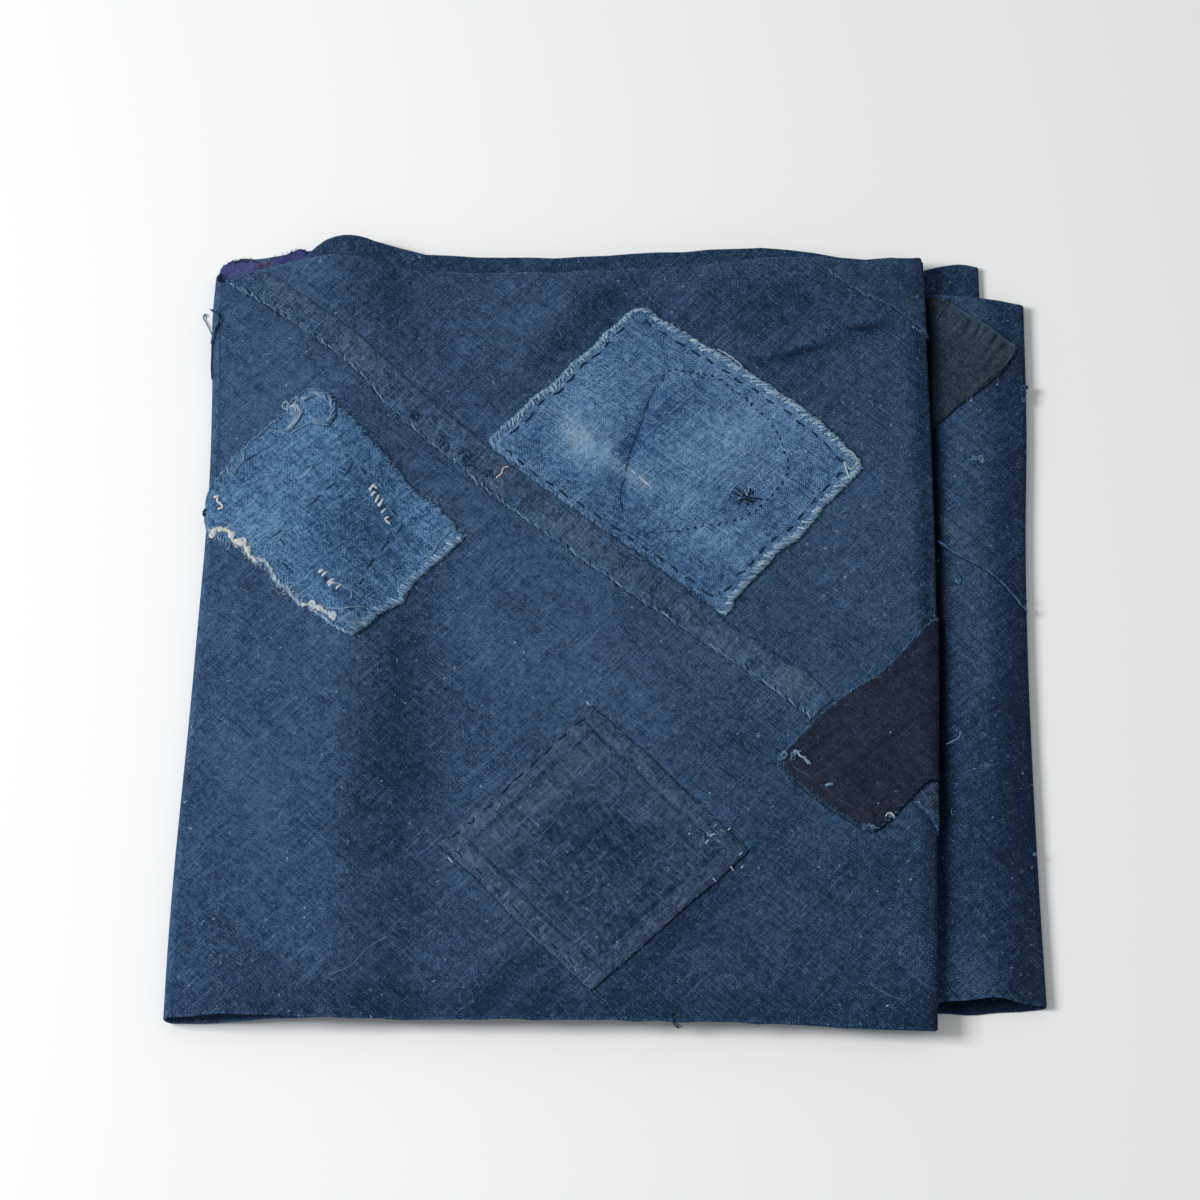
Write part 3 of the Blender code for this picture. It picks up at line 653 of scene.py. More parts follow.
OLIVE = Patch(
    name="olive_patch", node="patch_olive", slot="olive", middle=third_middle,
    west_south=((139, 90.5), (154.8, 104.9), (174.9, 123.2), (184.7, 132.5), (192.5, 143.3)),
    north_east=((139, 173), (159, 173), (162.5, 170.5), (172.2, 163.5), (183.8, 156),
                (194.3, 148)),
    west_north=((139, 90.5), (139, 173)),
    south_east=((192.5, 143.3), (194.3, 148)),
    lift=0.6, thickness=0.9, hem=4.0, cell=1.2, jitter=0.25,
    creases=((163, 152, 40, 2, 58, 0.3), (171, 146, 40, 2, 58, 0.3), (180, 142, 40, 2, 58, 0.3)),
    # Painted shadow from the top layer's right fold at x 151.4, and painted light and shade on the
    # two sides of each pleat in the pairs at about 62 degrees; the other tones are dye.
    tones=((180, 150, 20, 8, -35, 0.20), (168, 160, 10, 7, 0, 0.06),
           (151.4, 140, 80, 4.5, 90, -1.4), (176, 128, 20, 5, 42, 0.05),
           (172.3, 157, 6, 1.3, 63, 0.34), (176.2, 155.2, 6, 1.1, 62, 0.26),
           (179.6, 152.6, 6, 1.3, 62, 0.34), (184.2, 150, 5, 1.4, 62, 0.34),
           (169.6, 157.4, 6, 1.1, 63, -0.3), (174.5, 155.4, 6, 1.1, 62, -0.3),
           (182, 150.8, 6, 1.1, 62, -0.3), (186.8, 148, 5, 1.1, 62, -0.3)),
    wears=((155, 172, 8, 6, 0, 0.6), (188, 147, 9, 7, 45, 0.4), (174, 160, 18, 5, -36, 0.25),
           (176, 128, 24, 4, 42, 0.25)),
    hem_wear=0.1,
)
PURPLE = Patch(
    name="purple_patch", node="patch_purple", slot="purple", middle=third_middle,
    west_south=((-195.9, 178), (-191.5, 174), (-180, 173), (-170, 172), (-160, 174), (-149, 178)),
    north_east=((-195, 188.8), (-191.6, 191.2), (-187.6, 192), (-181, 191.8), (-177.7, 190.4),
                (-175.5, 189.6), (-173.3, 191.3), (-166.3, 193.6), (-162.4, 194.6),
                (-161.2, 196.2), (-160, 195.4), (-157.5, 196.7), (-155.2, 196), (-153.5, 195.3),
                (-151.4, 191.6)),
    west_north=((-195.9, 178), (-196.5, 185), (-195, 188.8)),
    south_east=((-149, 178), (-149.5, 186), (-151.4, 191.6)),
    lift=0.6, thickness=0.8, hem=3.0, cell=1.0, jitter=0.2,
    creases=((-171, 184, 9, 3, 70, 0.9), (-175, 184, 9, 2, 75, -0.5), (-182, 184, 12, 4, 60, 0.4),
             (-160, 188, 14, 3, 20, 0.4)),
    # The tone at (-174, 186) is painted shade in a crease trough; the others are dye.
    tones=((-174, 186, 9, 2.5, 72, -0.3), (-160, 190, 12, 5, 20, -0.22),
           (-184, 187, 8, 4, 20, 0.14)),
    wears=((-174.5, 190, 4, 1.6, 0, 0.9),),
)
STRIP = Patch(
    name="strip", node="seam_strip", slot="strip", middle=top_middle,
    west_south=((-191, 174.5), (-168.9, 160.3), (-150, 147), (-132.6, 133), (-121, 121),
                (-109.8, 108), (-90, 89.2), (-73.7, 76.6), (-67.3, 68.6), (-44.8, 50.6),
                (-24, 35), (-1.7, 17.6), (33, -7), (68.6, -31.9), (80, -41), (92.6, -51.4)),
    north_east=((-183, 178.5), (-175, 180.3), (-161.3, 172), (-147, 161.5), (-128, 147.5),
                (-109.2, 130.3), (-92, 113.7), (-76.3, 99.6), (-61.3, 87.2), (-26.1, 60.4),
                (12.2, 30.2), (51.5, -1.2), (76.6, -20.5), (90, -27.5), (102.1, -41.2)),
    west_north=((-191, 174.5), (-183, 178.5)),
    south_east=((92.6, -51.4), (102.1, -41.2)),
    lift=0.55, thickness=0.6, hem=2.5, cell=1.5, jitter=0.2,
    creases=tuple((x, y, 6, 2.0, turn, height * 1.9) for x, y, turn, height in (
        (-158, 162, 60, 0.35), (-138, 145, 40, 0.3), (-120, 132, 70, 0.4), (-104, 112, 50, 0.3),
        (-92, 100, 30, 0.35), (-72, 82, 60, 0.4), (-56, 72, 50, 0.35), (-44, 60, 70, 0.4),
        (-30, 52, 40, 0.45), (-14, 36, 60, 0.35), (2, 26, 50, 0.4), (22, 12, 65, 0.35),
        (36, 0, 45, 0.4), (54, -12, 60, 0.35), (66, -20, 50, 0.4), (80, -32, 60, 0.4),
        (90, -40, 40, 0.3), (-148, 152, 80, 0.3), (-129, 137, 20, 0.25),
        (-112, 121, 85, 0.3), (-84, 92, 80, 0.3), (-64, 78, 20, 0.3), (-22, 42, 85, 0.35),
        (12, 20, 15, 0.3), (44, -6, 85, 0.3), (74, -27, 15, 0.3))),
    tones=((-150, 155, 30, 8, -40, -0.05), (-110, 124, 26, 6, -45, 0.06),
           (-80, 98, 20, 6, -48, -0.04), (-52, 70, 14, 6, -38, -0.08),
           (-20, 44, 18, 5, -38, 0.10), (16, 16, 18, 5, -36, -0.06),
           (52, -10, 18, 5, -36, 0.06), (84, -33, 10, 7, -36, 0.22),
           # Painted light and shade on the puckers: a pale spot on the side towards the light and a
           # dark spot on the side away from it.
           *((x, y, 2.6, 1.7, turn, height) for x, y, turn, height in (
               (-164, 161, 30, 0.2), (-140, 140, 80, -0.25), (-126, 132, 20, 0.25),
               (-106, 116, 60, -0.25), (-97, 100, 10, 0.25), (-88, 97, 70, -0.3),
               (-79, 86, 20, 0.3), (-66, 80, 70, -0.25), (-55, 64, 30, 0.3), (-47, 66, 20, -0.4),
               (-36, 50, 60, 0.3), (-27, 50, 10, -0.35), (-17, 37, 60, 0.3), (-3, 33, 30, -0.4),
               (7, 20, 60, 0.3), (18, 12, 20, -0.35), (31, 4, 60, 0.25), (42, -3, 10, -0.3),
               (58, -14, 60, 0.3), (66, -24, 20, -0.3), (80, -30, 60, 0.3)))),
    wears=((-158, 164, 16, 6, -35, 0.35), (-128, 140, 14, 7, -45, 0.45),
           (-112, 124, 10, 6, -45, 0.25), (-58, 74, 14, 8, -38, 0.6), (-36, 56, 14, 6, -38, 0.45),
           (-8, 34, 18, 6, -38, 0.5), (24, 8, 18, 6, -36, 0.35), (52, -12, 16, 6, -36, 0.3),
           (84, -33, 10, 7, -36, 0.7), (-92, 102, 12, 6, -48, 0.2)),
    hem_tone=0.06,
)
STRIP_END = Patch(
    name="strip_end", node="seam_strip_end", slot="strip", middle=top_middle,
    west_south=((139.3, -91.5), (142.6, -94.9), (146.3, -99), (148.4, -103), (149.2, -107)),
    north_east=((145.4, -83.4), (149.7, -81)),
    west_north=((139.3, -91.5), (145.4, -83.4)),
    south_east=((149.2, -107), (149.7, -81)),
    lift=0.6, thickness=0.8, hem=2.5, cell=1.2, jitter=0.15,
    tones=((145, -90, 10, 8, 0, -0.15),), wears=((145, -90, 10, 8, 0, 0.5),),
)
CORNER = Patch(
    name="corner", node="corner_panel", slot="panel", middle=top_middle,
    west_south=((95, 191), (100.8, 186.8), (106.4, 182.4), (121.1, 172.4), (134.2, 165.1),
                (146.1, 155.9), (149.4, 150)),
    north_east=((119, 189.5), (140, 191.5), (148.2, 191.5)),
    west_north=((95, 191), (108, 190), (119, 189.5)),
    south_east=((149.4, 150), (149, 170), (148.2, 191.5)),
    lift=0.6, thickness=0.6, hem=2.0, cell=1.4, jitter=0.15,
    creases=((130, 180, 14, 5, 140, 0.25),),
    tones=((130, 180, 40, 20, 0, -0.14),), wears=((130, 176, 30, 12, -30, 0.2),),
    hem_tone=0.06,
)
PATCHES = (FRAYED, FADED, HEMMED, DARK, OLIVE, PURPLE, STRIP, STRIP_END, CORNER)


def distances(line):
    """How far each point of a line is from its start, along the line."""
    return np.concatenate(([0], np.cumsum(np.linalg.norm(np.diff(line, axis=0), axis=1))))


def points_at(places, length, line):
    """The values at some places along a line whose points lie at the given distances."""
    return np.stack([np.interp(places, length, line[:, axis]) for axis in (0, 1)], axis=-1)


def even_points(points, count):
    """Points at even steps along a line through the given points."""
    points = np.array(points, dtype=float)
    length = distances(points)
    return points_at(np.linspace(0, length[-1], count), length, points)


def line_length(points):
    return float(np.linalg.norm(np.diff(np.array(points, dtype=float), axis=0), axis=1).sum())


def rough(points, height, seed):
    """A line moved sideways by small random unevenness that fades out at both ends."""
    if len(points) < 4:
        return points
    draw = np.random.default_rng(seed)
    offset = draw.normal(0, height, len(points))
    offset = (offset + np.roll(offset, 1) * 0.8 + np.roll(offset, 2) * 0.4) / 1.4
    offset[:2] = 0
    offset[-2:] = 0
    ahead = np.gradient(points, axis=0)
    ahead /= np.linalg.norm(ahead, axis=1, keepdims=True)
    return points + np.stack((-ahead[:, 1], ahead[:, 0]), axis=-1) * offset[:, None]


def patch_grid(patch, seed):
    """The plan places of a patch's grid, from its four sides."""
    columns = max(int(line_length(patch.west_south) / patch.cell),
                  int(line_length(patch.north_east) / patch.cell), 6)
    rows = max(int(line_length(patch.west_north) / patch.cell),
               int(line_length(patch.south_east) / patch.cell), 6)
    low = rough(even_points(patch.west_south, columns), patch.jitter, seed)
    high = rough(even_points(patch.north_east, columns), patch.jitter, seed + 1)
    left = rough(even_points(patch.west_north, rows), patch.jitter, seed + 2)
    right = rough(even_points(patch.south_east, rows), patch.jitter, seed + 3)
    s = np.linspace(0, 1, columns)[:, None, None]
    t = np.linspace(0, 1, rows)[None, :, None]
    between = low[:, None] * (1 - t) + high[:, None] * t
    across = left[None] * (1 - s) + right[None] * s
    corners = (low[0] * (1 - s) * (1 - t) + low[-1] * s * (1 - t)
               + high[0] * (1 - s) * t + high[-1] * s * t)
    return between + across - corners


def edge_distance(grid):
    """The distance of each point of a grid from the nearest side, about."""
    columns, rows = grid.shape[:2]
    steps_s = np.linalg.norm(np.diff(grid, axis=0), axis=2)
    steps_t = np.linalg.norm(np.diff(grid, axis=1), axis=2)
    along = np.concatenate((np.zeros((1, rows)), np.cumsum(steps_s, axis=0)))
    up = np.concatenate((np.zeros((columns, 1)), np.cumsum(steps_t, axis=1)), axis=1)
    nearest = np.minimum(along, along[-1] - along)
    return np.minimum(nearest, np.minimum(up, up[:, -1:] - up))


class Surface:
    """The upper face of a sewn patch, and of the cloth round it."""

    def __init__(self, middle, grid=None, upper=None, cell=0.0):
        self.middle = middle
        self.reach = cell * 0.9
        self.uppers = None
        if grid is not None:
            self.uppers = upper.ravel()
            self.tree = kdtree.KDTree(len(self.uppers))
            for number, place in enumerate(grid.reshape(-1, 2)):
                self.tree.insert((*place, 0), number)
            self.tree.balance()

    def lift(self, x, y):
        """How far the upper face lies above the middle of the cloth at each place."""
        x, y = np.broadcast_arrays(np.asarray(x, float), np.asarray(y, float))
        lifts = np.full(x.shape, CLOTH_THICKNESS / 2)
        if self.uppers is None:
            return lifts
        for place in np.ndindex(x.shape):
            _, nearest, distance = self.tree.find((x[place], y[place], 0))
            if distance < self.reach:
                lifts[place] = self.uppers[nearest]
        return lifts

    def lay(self, x, y, rise):
        """Points at a rise above the upper face."""
        return lay_on(self.middle, x, y, self.lift(x, y) + rise)


# How a patch lies. A share is of its hem's width, and the rest is in millimetres.
HEM_END = 0.7             # the share where its turned edge starts to thin out
HEM_FADE = 0.5            # the share over which it does
HEM_EXTRA = 0.4           # how much thicker the turned edge is
PINCH_WIDTH = 1.1         # of the rim that the whip stitches pull down
PINCH_THINNER = 0.3       # how much thinner they make it
SEAM_PLACE = 0.9          # the share where the stitches run
SEAM_SINK = 0.2
SEAM_WIDTH = 1.5
HEM_SHADE_WIDTH = 1.1          # of the painted shade along the inner edge of the hem
RELIEF_BASE = 0.35        # the gap under a patch where nothing lifts or sinks it
RELIEF_START = 5.0        # how far in from the edge the gap has its full height
WAVE_HEIGHT = 0.07
WAVE_SIZE = 7
WAVE_COUNT = 30


def build_patch(patch, material, seed):
    """One sewn-on piece of cloth with a thicker turned edge, a line of stitches that
    pulls it in, and its own creases."""
    grid = patch_grid(patch, seed)
    x, y = grid[..., 0], grid[..., 1]
    inset = edge_distance(grid)
    hem = 1 - smooth_step((inset - patch.hem * HEM_END) / (patch.hem * HEM_FADE))
    pinch = np.exp(-(inset / PINCH_WIDTH) ** 2)
    waves = WAVE_HEIGHT * soft_noise(x, y, WAVE_SIZE, seed + 5, WAVE_COUNT)
    relief = swell_height(patch.creases, x, y) + waves
    relief -= SEAM_SINK * np.exp(-((inset - patch.hem * SEAM_PLACE) / SEAM_WIDTH) ** 2)
    relief = np.maximum(relief + RELIEF_BASE, 0)
    lower = patch.lift + relief * (1 - pinch) * smooth_step(inset / RELIEF_START)
    upper = lower + patch.thickness * (1 + HEM_EXTRA * hem) * (1 - PINCH_THINNER * pinch)
    middle = patch.middle(x, y)
    normals = lay_on(patch.middle, x, y, np.ones_like(x)) - middle
    tone = BASE_TONE + swell_height(patch.tones, x, y) + patch.hem_tone * hem
    # Painted shade: a dark line along the inner edge of the hem, where it puckers.
    tone -= patch.hem_line * np.exp(-((inset - patch.hem) / HEM_SHADE_WIDTH) ** 2)
    wear = swell_height(patch.wears, x, y) + patch.hem_wear * hem
    shape = Shape()
    closed_sheet(shape, middle, normals, upper, lower, grid, tone, np.clip(wear, 0, 1))
    piece = shape.build(patch.name, material, patch.slot)
    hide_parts(patch.node)
    crossed = np.cross(np.diff(grid, axis=0)[:, :-1], np.diff(grid, axis=1)[:-1])
    area = float(np.abs(crossed).sum()) * MM * MM
    long_side = max(line_length(patch.west_south), line_length(patch.north_east)) * MM
    surface = Surface(patch.middle, grid, upper, patch.cell)
    return Sewn(piece, patch.slot, grid, surface, (area / long_side, long_side), area)


# The threads. A line of the plan is given as (x, y) points; tones run from 0, nearly
# black, through blue to 1, cream.
WAY_STEP = 0.5            # each way from a place on a line, to find where it leads
STITCH_POINTS = 7
FLUFF_POINTS = 7
TANGLE_POINTS = 14
HANGING_POINTS = 24
FLUFF_SIDES = 4
ROPE_STEP = 0.8           # between the points of a rope
STITCH_SINK = 0.12        # how deep a stitch's ends go into the cloth
WHIP_SINK = 0.1
FLUFF_REACH = 6           # how far from its line fluff may lie
# The painted shadow under a patch's edge: a nearly black thread, its tone and its wander.
PAINTED_SHADOW_TONE = 0.02
PAINTED_SHADOW_WANDER = 0.08
# How uneven the sewing is, as shares of the usual length, width and so on.
STITCH_LENGTHS = (0.75, 1.2)
STITCH_WIDTHS = (0.85, 1.15)
STITCH_PITCHES = (0.85, 1.15)
STITCH_TONES = (-0.04, 0.05)      # added to the usual tone
STITCH_RISE = 0.8                 # of the thread's radius
WHIP_PITCHES = (-0.35, 0.35)
WHIP_INNER = (0.6, 1.3)
WHIP_OUTER = (0.4, 1.5)
WHIP_LEANS = (0.4, 1.6)
WHIP_RISES = (0.7, 1.3)
WHIP_WIDTHS = (0.7, 1.25)
FLUFF_BEND = 1.6                  # the usual turn of a fibre, in radians
FLUFF_LENGTHS = (0.5, 1.4)
FLUFF_WIDTHS = (0.6, 1.3)
CURL_TURNS = (3.0, 7.5)           # of a thread in a tangle, in radians
CURL_WIDTHS = (0.35, 0.8)


def smooth_line(points, count):
    """Points along a soft curve through the given ones, in two or three dimensions."""
    points = np.array(points, dtype=float)
    if len(points) == 2:
        points = np.stack((points[0], points.mean(axis=0), points[1]))
    length = distances(points)
    wanted = np.linspace(0, length[-1], count)
    return np.stack([curve_value(tuple(zip(length, column)), wanted) for column in points.T],
                    axis=-1)


def side_line(grid, side, cells):
    """A line of a patch's grid so many cells inside one of its sides."""
    if side in ("west_south", "north_east"):
        line = grid[:, cells] if side == "west_south" else grid[:, -1 - cells]
    else:
        line = grid[cells] if side == "west_north" else grid[-1 - cells]
    return line[cells:len(line) - cells]


def inward(grid, side):
    """The unit direction from each point of a side of a patch into the patch."""
    edge = side_line(grid, side, 0)
    if side in ("west_south", "north_east"):
        inner = grid[:, 3] if side == "west_south" else grid[:, -4]
    else:
        inner = grid[3] if side == "west_north" else grid[-4]
    return unit(inner - edge)


def along_line(line, places):
    """Points and unit directions at distances along a line of the plan."""
    length = distances(line)
    ahead = points_at(places + WAY_STEP, length, line) - points_at(places - WAY_STEP, length, line)
    return points_at(places, length, line), unit(ahead)


class Sewing:
    """Threads gathered for one patch or for the bare cloth."""

    def __init__(self, surface, seed):
        self.surface = surface
        self.shape = Shape()
        self.draw = np.random.default_rng(seed)

    def stroke(self, points, radius=0.33, tone=0.1, rise=0.25, count=STITCH_POINTS):
        """One stitch that comes up at its first point and goes down at its last."""
        line = smooth_line(points, count)
        share = np.linspace(0, 1, count)
        rises = rise * np.sin(math.pi * share) ** 0.5 - STITCH_SINK
        self.shape.threads(self.surface.lay(line[:, 0], line[:, 1], rises), radius, tone)

    def running(self, line, length, pitch, radius=0.34, tone=0.08, wander=0.3):
        """Running stitches along a line."""
        line = np.asarray(line, float)
        place = self.draw.uniform(0.2, 0.8) * pitch
        end = line_length(line) - length
        while place < end:
            own = length * self.draw.uniform(*STITCH_LENGTHS)
            ends, _ = along_line(line, np.array((place, place + own / 2, place + own)))
            ends = ends + self.draw.normal(0, wander, ends.shape)
            self.stroke(ends, radius * self.draw.uniform(*STITCH_WIDTHS),
                        tone + self.draw.uniform(*STITCH_TONES), rise=radius * STITCH_RISE)
            place += pitch * self.draw.uniform(*STITCH_PITCHES)

    def whip(self, edge, way, pitch, reach, out, radius, tones, slant=0.6, skip=0.0, lift=0.35):
        """Slanting stitches over an edge; way points into the patch at each edge point."""
        length = line_length(edge)
        places = np.arange(0.4, length - 0.3, pitch)
        places = places + self.draw.uniform(*WHIP_PITCHES, len(places)) * pitch
        places = places[self.draw.random(len(places)) >= skip]
        number = len(places)
        point, ahead = along_line(edge, places)
        index = np.linspace(0, length, len(edge))
        side = unit(points_at(places, index, way))
        share = np.linspace(0, 1, STITCH_POINTS)
        inner = reach * self.draw.uniform(*WHIP_INNER, number)
        outer = out * self.draw.uniform(*WHIP_OUTER, number)
        lean = pitch * slant * self.draw.uniform(*WHIP_LEANS, number)
        across = inner[:, None] * (1 - share) - outer[:, None] * share
        along = lean[:, None] * (share - 0.5)
        plan = (point[:, None] + side[:, None] * across[..., None]
                + ahead[:, None] * along[..., None])
        inside = self.surface.lift(plan[:, 0, 0], plan[:, 0, 1])
        bare = CLOTH_THICKNESS / 2
        profile = np.where(across > -0.1, inside[:, None], bare + (inside[:, None] - bare) * 0.45)
        rises = lift * np.sin(math.pi * np.clip(share * 1.05, 0, 1)) ** 0.6 - WHIP_SINK
        rises = rises * self.draw.uniform(*WHIP_RISES, number)[:, None]
        profile[:, -1] = bare
        paths = lay_on(self.surface.middle, plan[..., 0], plan[..., 1], profile + rises)
        tone = self.draw.uniform(*tones, number)
        self.shape.threads(paths, radius * self.draw.uniform(*WHIP_WIDTHS, number), tone)

    def fluff(self, line, number, length, radius, tones, spread=0.8, rise=0.5):
        """Short curly fibres near a line."""
        line = np.asarray(line, float)
        places = self.draw.uniform(0, line_length(line), number)
        point, _ = along_line(line, places)
        point = point + self.draw.normal(0, spread, point.shape)
        point = np.clip(point, line.min(axis=0) - FLUFF_REACH, line.max(axis=0) + FLUFF_REACH)
        turn = self.draw.uniform(0, 2 * math.pi, number)
        bend = self.draw.normal(0, FLUFF_BEND, number)
        reach = self.draw.uniform(*FLUFF_LENGTHS, number) * length
        share = np.linspace(0, 1, FLUFF_POINTS)
        angle = turn[:, None] + bend[:, None] * share
        step = reach[:, None] / (FLUFF_POINTS - 1)
        x = point[:, :1] + np.cumsum(np.cos(angle) * step, axis=1)
        y = point[:, 1:] + np.cumsum(np.sin(angle) * step, axis=1)
        heights = self.draw.uniform(0.1, 1, number)[:, None] * rise * np.sin(math.pi * share * 0.8)
        paths = self.surface.lay(x, y, heights + 0.05)
        self.shape.threads(paths, radius * self.draw.uniform(*FLUFF_WIDTHS, number),
                           self.draw.uniform(*tones, number), sides=FLUFF_SIDES)

    def loose(self, points, radius=0.25, tone=0.5, rise=0.3, strands=1, apart=0.5, count=26):
        """A loose thread of some strands that lies along a soft curve."""
        line = smooth_line(points, count)
        for _ in range(strands):
            shift = np.cumsum(self.draw.normal(0, apart * 0.35, (count, 2)), axis=0)
            shift -= np.linspace(0, 1, count)[:, None] * shift[-1]
            shift += self.draw.normal(0, apart * 0.5 * (strands > 1), 2)
            x, y = (line + shift * (0.3 + 0.7 * (strands > 1))).T
            lifts = rise * (0.4 + 0.6 * np.abs(np.sin(np.linspace(0, 5, count)
                                                      + self.draw.uniform(0, 6))))
            self.shape.threads(self.surface.lay(x, y, lifts), radius,
                               np.clip(tone + self.draw.normal(0, 0.05), 0, 1))

    def rope(self, points, radius, tones, strands=3, turn_length=4.0, width=0.5, rise=0.4):
        """Strands twisted round each other along a soft curve."""
        steps = max(int(line_length(points) / ROPE_STEP), 8)
        line = smooth_line(points, steps)
        ahead = unit(np.gradient(line, axis=0))
        side = np.stack((-ahead[:, 1], ahead[:, 0]), axis=-1)
        place = np.linspace(0, line_length(line), steps)
        for strand in range(strands):
            angle = place * 2 * math.pi / turn_length + strand * 2 * math.pi / strands
            angle = angle + np.cumsum(self.draw.normal(0, 0.25, steps))
            wide = width * (0.7 + 0.5 * np.abs(np.sin(place * 0.23 + strand)))
            x, y = (line + side * (np.cos(angle) * wide)[:, None]).T
            thick = radius * (0.8 + 0.45 * np.abs(np.sin(place * 0.41 + strand * 2)))
            self.shape.threads(self.surface.lay(x, y, rise + 0.5 * wide * np.sin(angle)), thick,
                               self.draw.uniform(*tones) + 0.08 * np.sin(place * 0.7 + strand))

    def tangle(self, x, y, size, number, radius, tones, rise=0.6):
        """A small knot of curled threads."""
        share = np.linspace(0, 1, TANGLE_POINTS)
        for _ in range(number):
            turn = self.draw.uniform(0, 2 * math.pi)
            curl = self.draw.uniform(*CURL_TURNS) * self.draw.choice((-1, 1))
            wide = size * self.draw.uniform(*CURL_WIDTHS)
            centre = self.draw.normal(0, size * 0.3, 2)
            px = x + centre[0] + np.cos(turn + curl * share) * wide * (1 - 0.5 * share)
            py = y + centre[1] + np.sin(turn + curl * share) * wide * (1 - 0.5 * share)
            lifts = rise * self.draw.uniform(0.2, 1.0) * (0.5 + 0.5 * np.sin(share * 5))
            self.shape.threads(self.surface.lay(px, py, lifts), radius,
                               self.draw.uniform(*tones))

    def hanging(self, points, radius, tone, strands=1, apart=0.4):
        """Strands along a soft curve through (x, y, z) points in the air."""
        line = smooth_line(points, HANGING_POINTS)
        for _ in range(strands):
            shift = self.draw.normal(0, apart, 3) * (strands > 1)
            wave = np.sin(np.linspace(0, 9, HANGING_POINTS) + self.draw.uniform(0, 6))[:, None]
            drift = self.draw.normal(0, apart * 0.4, 3)
            self.shape.threads(line + shift + wave * drift, radius,
                               np.clip(tone + self.draw.normal(0, 0.06), 0, 1))


SIDES = ("west_south", "north_east", "west_north", "south_east")

FRAYED_CREAM_EDGE = ((-190.5, 39.5), (-185.9, 41), (-181.2, 38.6), (-178.7, 34.2), (-175, 32.7),
                     (-171.5, 27.3), (-168.2, 24.4), (-164.6, 24.5), (-161.2, 20.6),
                     (-159.6, 16.7), (-155.8, 11.8), (-152.5, 9.9), (-149.1, 5), (-145.4, 2.1),
                     (-140, 1.3), (-133.5, -2.5), (-129.9, -4.4))
FRAYED_DARK_STITCHES = (
    ((-128.3, 68.6), (-125.4, 74.3)), ((-137.5, 60.4), (-132.3, 65)),
    ((-144.4, 52.8), (-139.7, 58.4)), ((-161.2, 36.5), (-156.9, 40)),
    ((-102.6, 40.4), (-100.5, 44.5)), ((-109.9, 30.4), (-106.9, 35.9)),
    ((-116.2, 20.8), (-113.3, 25.3)), ((-119.4, 12.4), (-117.8, 15.4)),
    ((-121.3, 73.3), (-118.8, 69.8)), ((-157.5, 35), (-155.1, 32.6)),
    ((-155, 23.2), (-150.7, 18.3)), ((-176, 76), (-171.5, 80)), ((-106, 52), (-102.5, 48.5)))
FRAYED_WHITE_STITCHES = (
    ((-117.1, 61.3), (-114.1, 65.4)), ((-115.6, 58.8), (-113.5, 61.3)),
    ((-113.8, 55.6), (-112, 59.3)), ((-111.9, 53.6), (-110.1, 57.4)),
    ((-116.2, 64.5), (-113.2, 63)), ((-110.4, 49.6), (-108.5, 52.9)),
    ((-109, 47), (-106.6, 48.4)), ((-108.7, 46.3), (-106.4, 44.4)),
    ((-138.2, 18.2), (-136, 19.5)), ((-136.2, 15.7), (-134, 18.1)),
    ((-134, 12.4), (-130.5, 14.2)), ((-133, 11.2), (-130, 12.9)), ((-129.6, 9.4), (-127.3, 11.5)))
FRAYED_LOOPS = (
    ((-150.9, 109.7), (-145.6, 112.3), (-140, 110.9), (-136.1, 106.8), (-135.8, 101.7),
     (-138.3, 96.5), (-144.8, 97.4), (-149.3, 95.3), (-152.8, 93.2), (-156.4, 90.6),
     (-161.1, 92.5), (-165.7, 93)),
    ((-177.8, 81.5), (-176.7, 77.5), (-179.2, 73.4), (-180.7, 69.3), (-183.5, 70.3),
     (-184.6, 73.3)),
    ((-133.6, -0.6), (-128.2, -1), (-122, -0.4), (-116.7, 0.7)),
    ((-132.6, -2.5), (-129, -3.9), (-126.2, -6.8), (-121.7, -7.7), (-116.3, -6.6),
     (-112.9, -4.1)),
    ((-96.9, 21.7), (-101.4, 20.6), (-103.1, 19.1), (-99.4, 15.7), (-97, 11.8), (-96.8, 7.9),
     (-98.9, 4.7), (-103.4, 3.3)),
    ((-78, 41), (-82, 36), (-85, 30), (-88, 26)),
    ((-133, 13), (-127, 11), (-123, 8), (-122.5, 5)))
FRAYED_TUFT = ((-156.4, 107), (-153.6, 105.4), (-152.2, 102.2), (-153.2, 98.6), (-155.4, 95.4),
               (-157, 92.8))
FRAYED_CURLS = (((-157.5, 104.6), (-160.2, 106), (-159.8, 108.6), (-157.6, 108.4),
                 (-157.8, 106.6)),
                ((-156.5, 106.8), (-156.4, 109.4), (-154.4, 110.6), (-153.4, 108.8),
                 (-154.8, 106.6)))
FADED_DOTS = ((21.1, 123.4), (24.9, 128.4), (35, 127.2), (48.8, 124.6), (55.2, 119),
              (62.7, 112.8), (67.7, 107.2), (72.7, 103.1), (77.1, 96.1), (80.2, 88.5),
              (82, 80.2), (81.3, 72.6), (78.2, 67.7), (72.6, 60.7), (66.4, 53.7), (59, 49.5),
              (51.6, 47.3), (42.9, 45.8), (36.7, 44.3), (29.3, 42.8), (21.3, 42), (13.3, 41.9))
FADED_STAR = (62.1, 61.2)
FADED_LOOSE = (
    ((48.8, 140.5), (52, 138.8), (55.1, 136), (58.9, 133.3), (60.2, 129.7)),
    ((108.9, 87.6), (112.6, 85.6), (115, 80.7), (111.9, 76.5), (108.8, 80.6), (110, 75.1),
     (111.2, 72.4)),
    ((-40.3, 111.7), (-37.5, 113), (-34, 116.5), (-32, 116)))
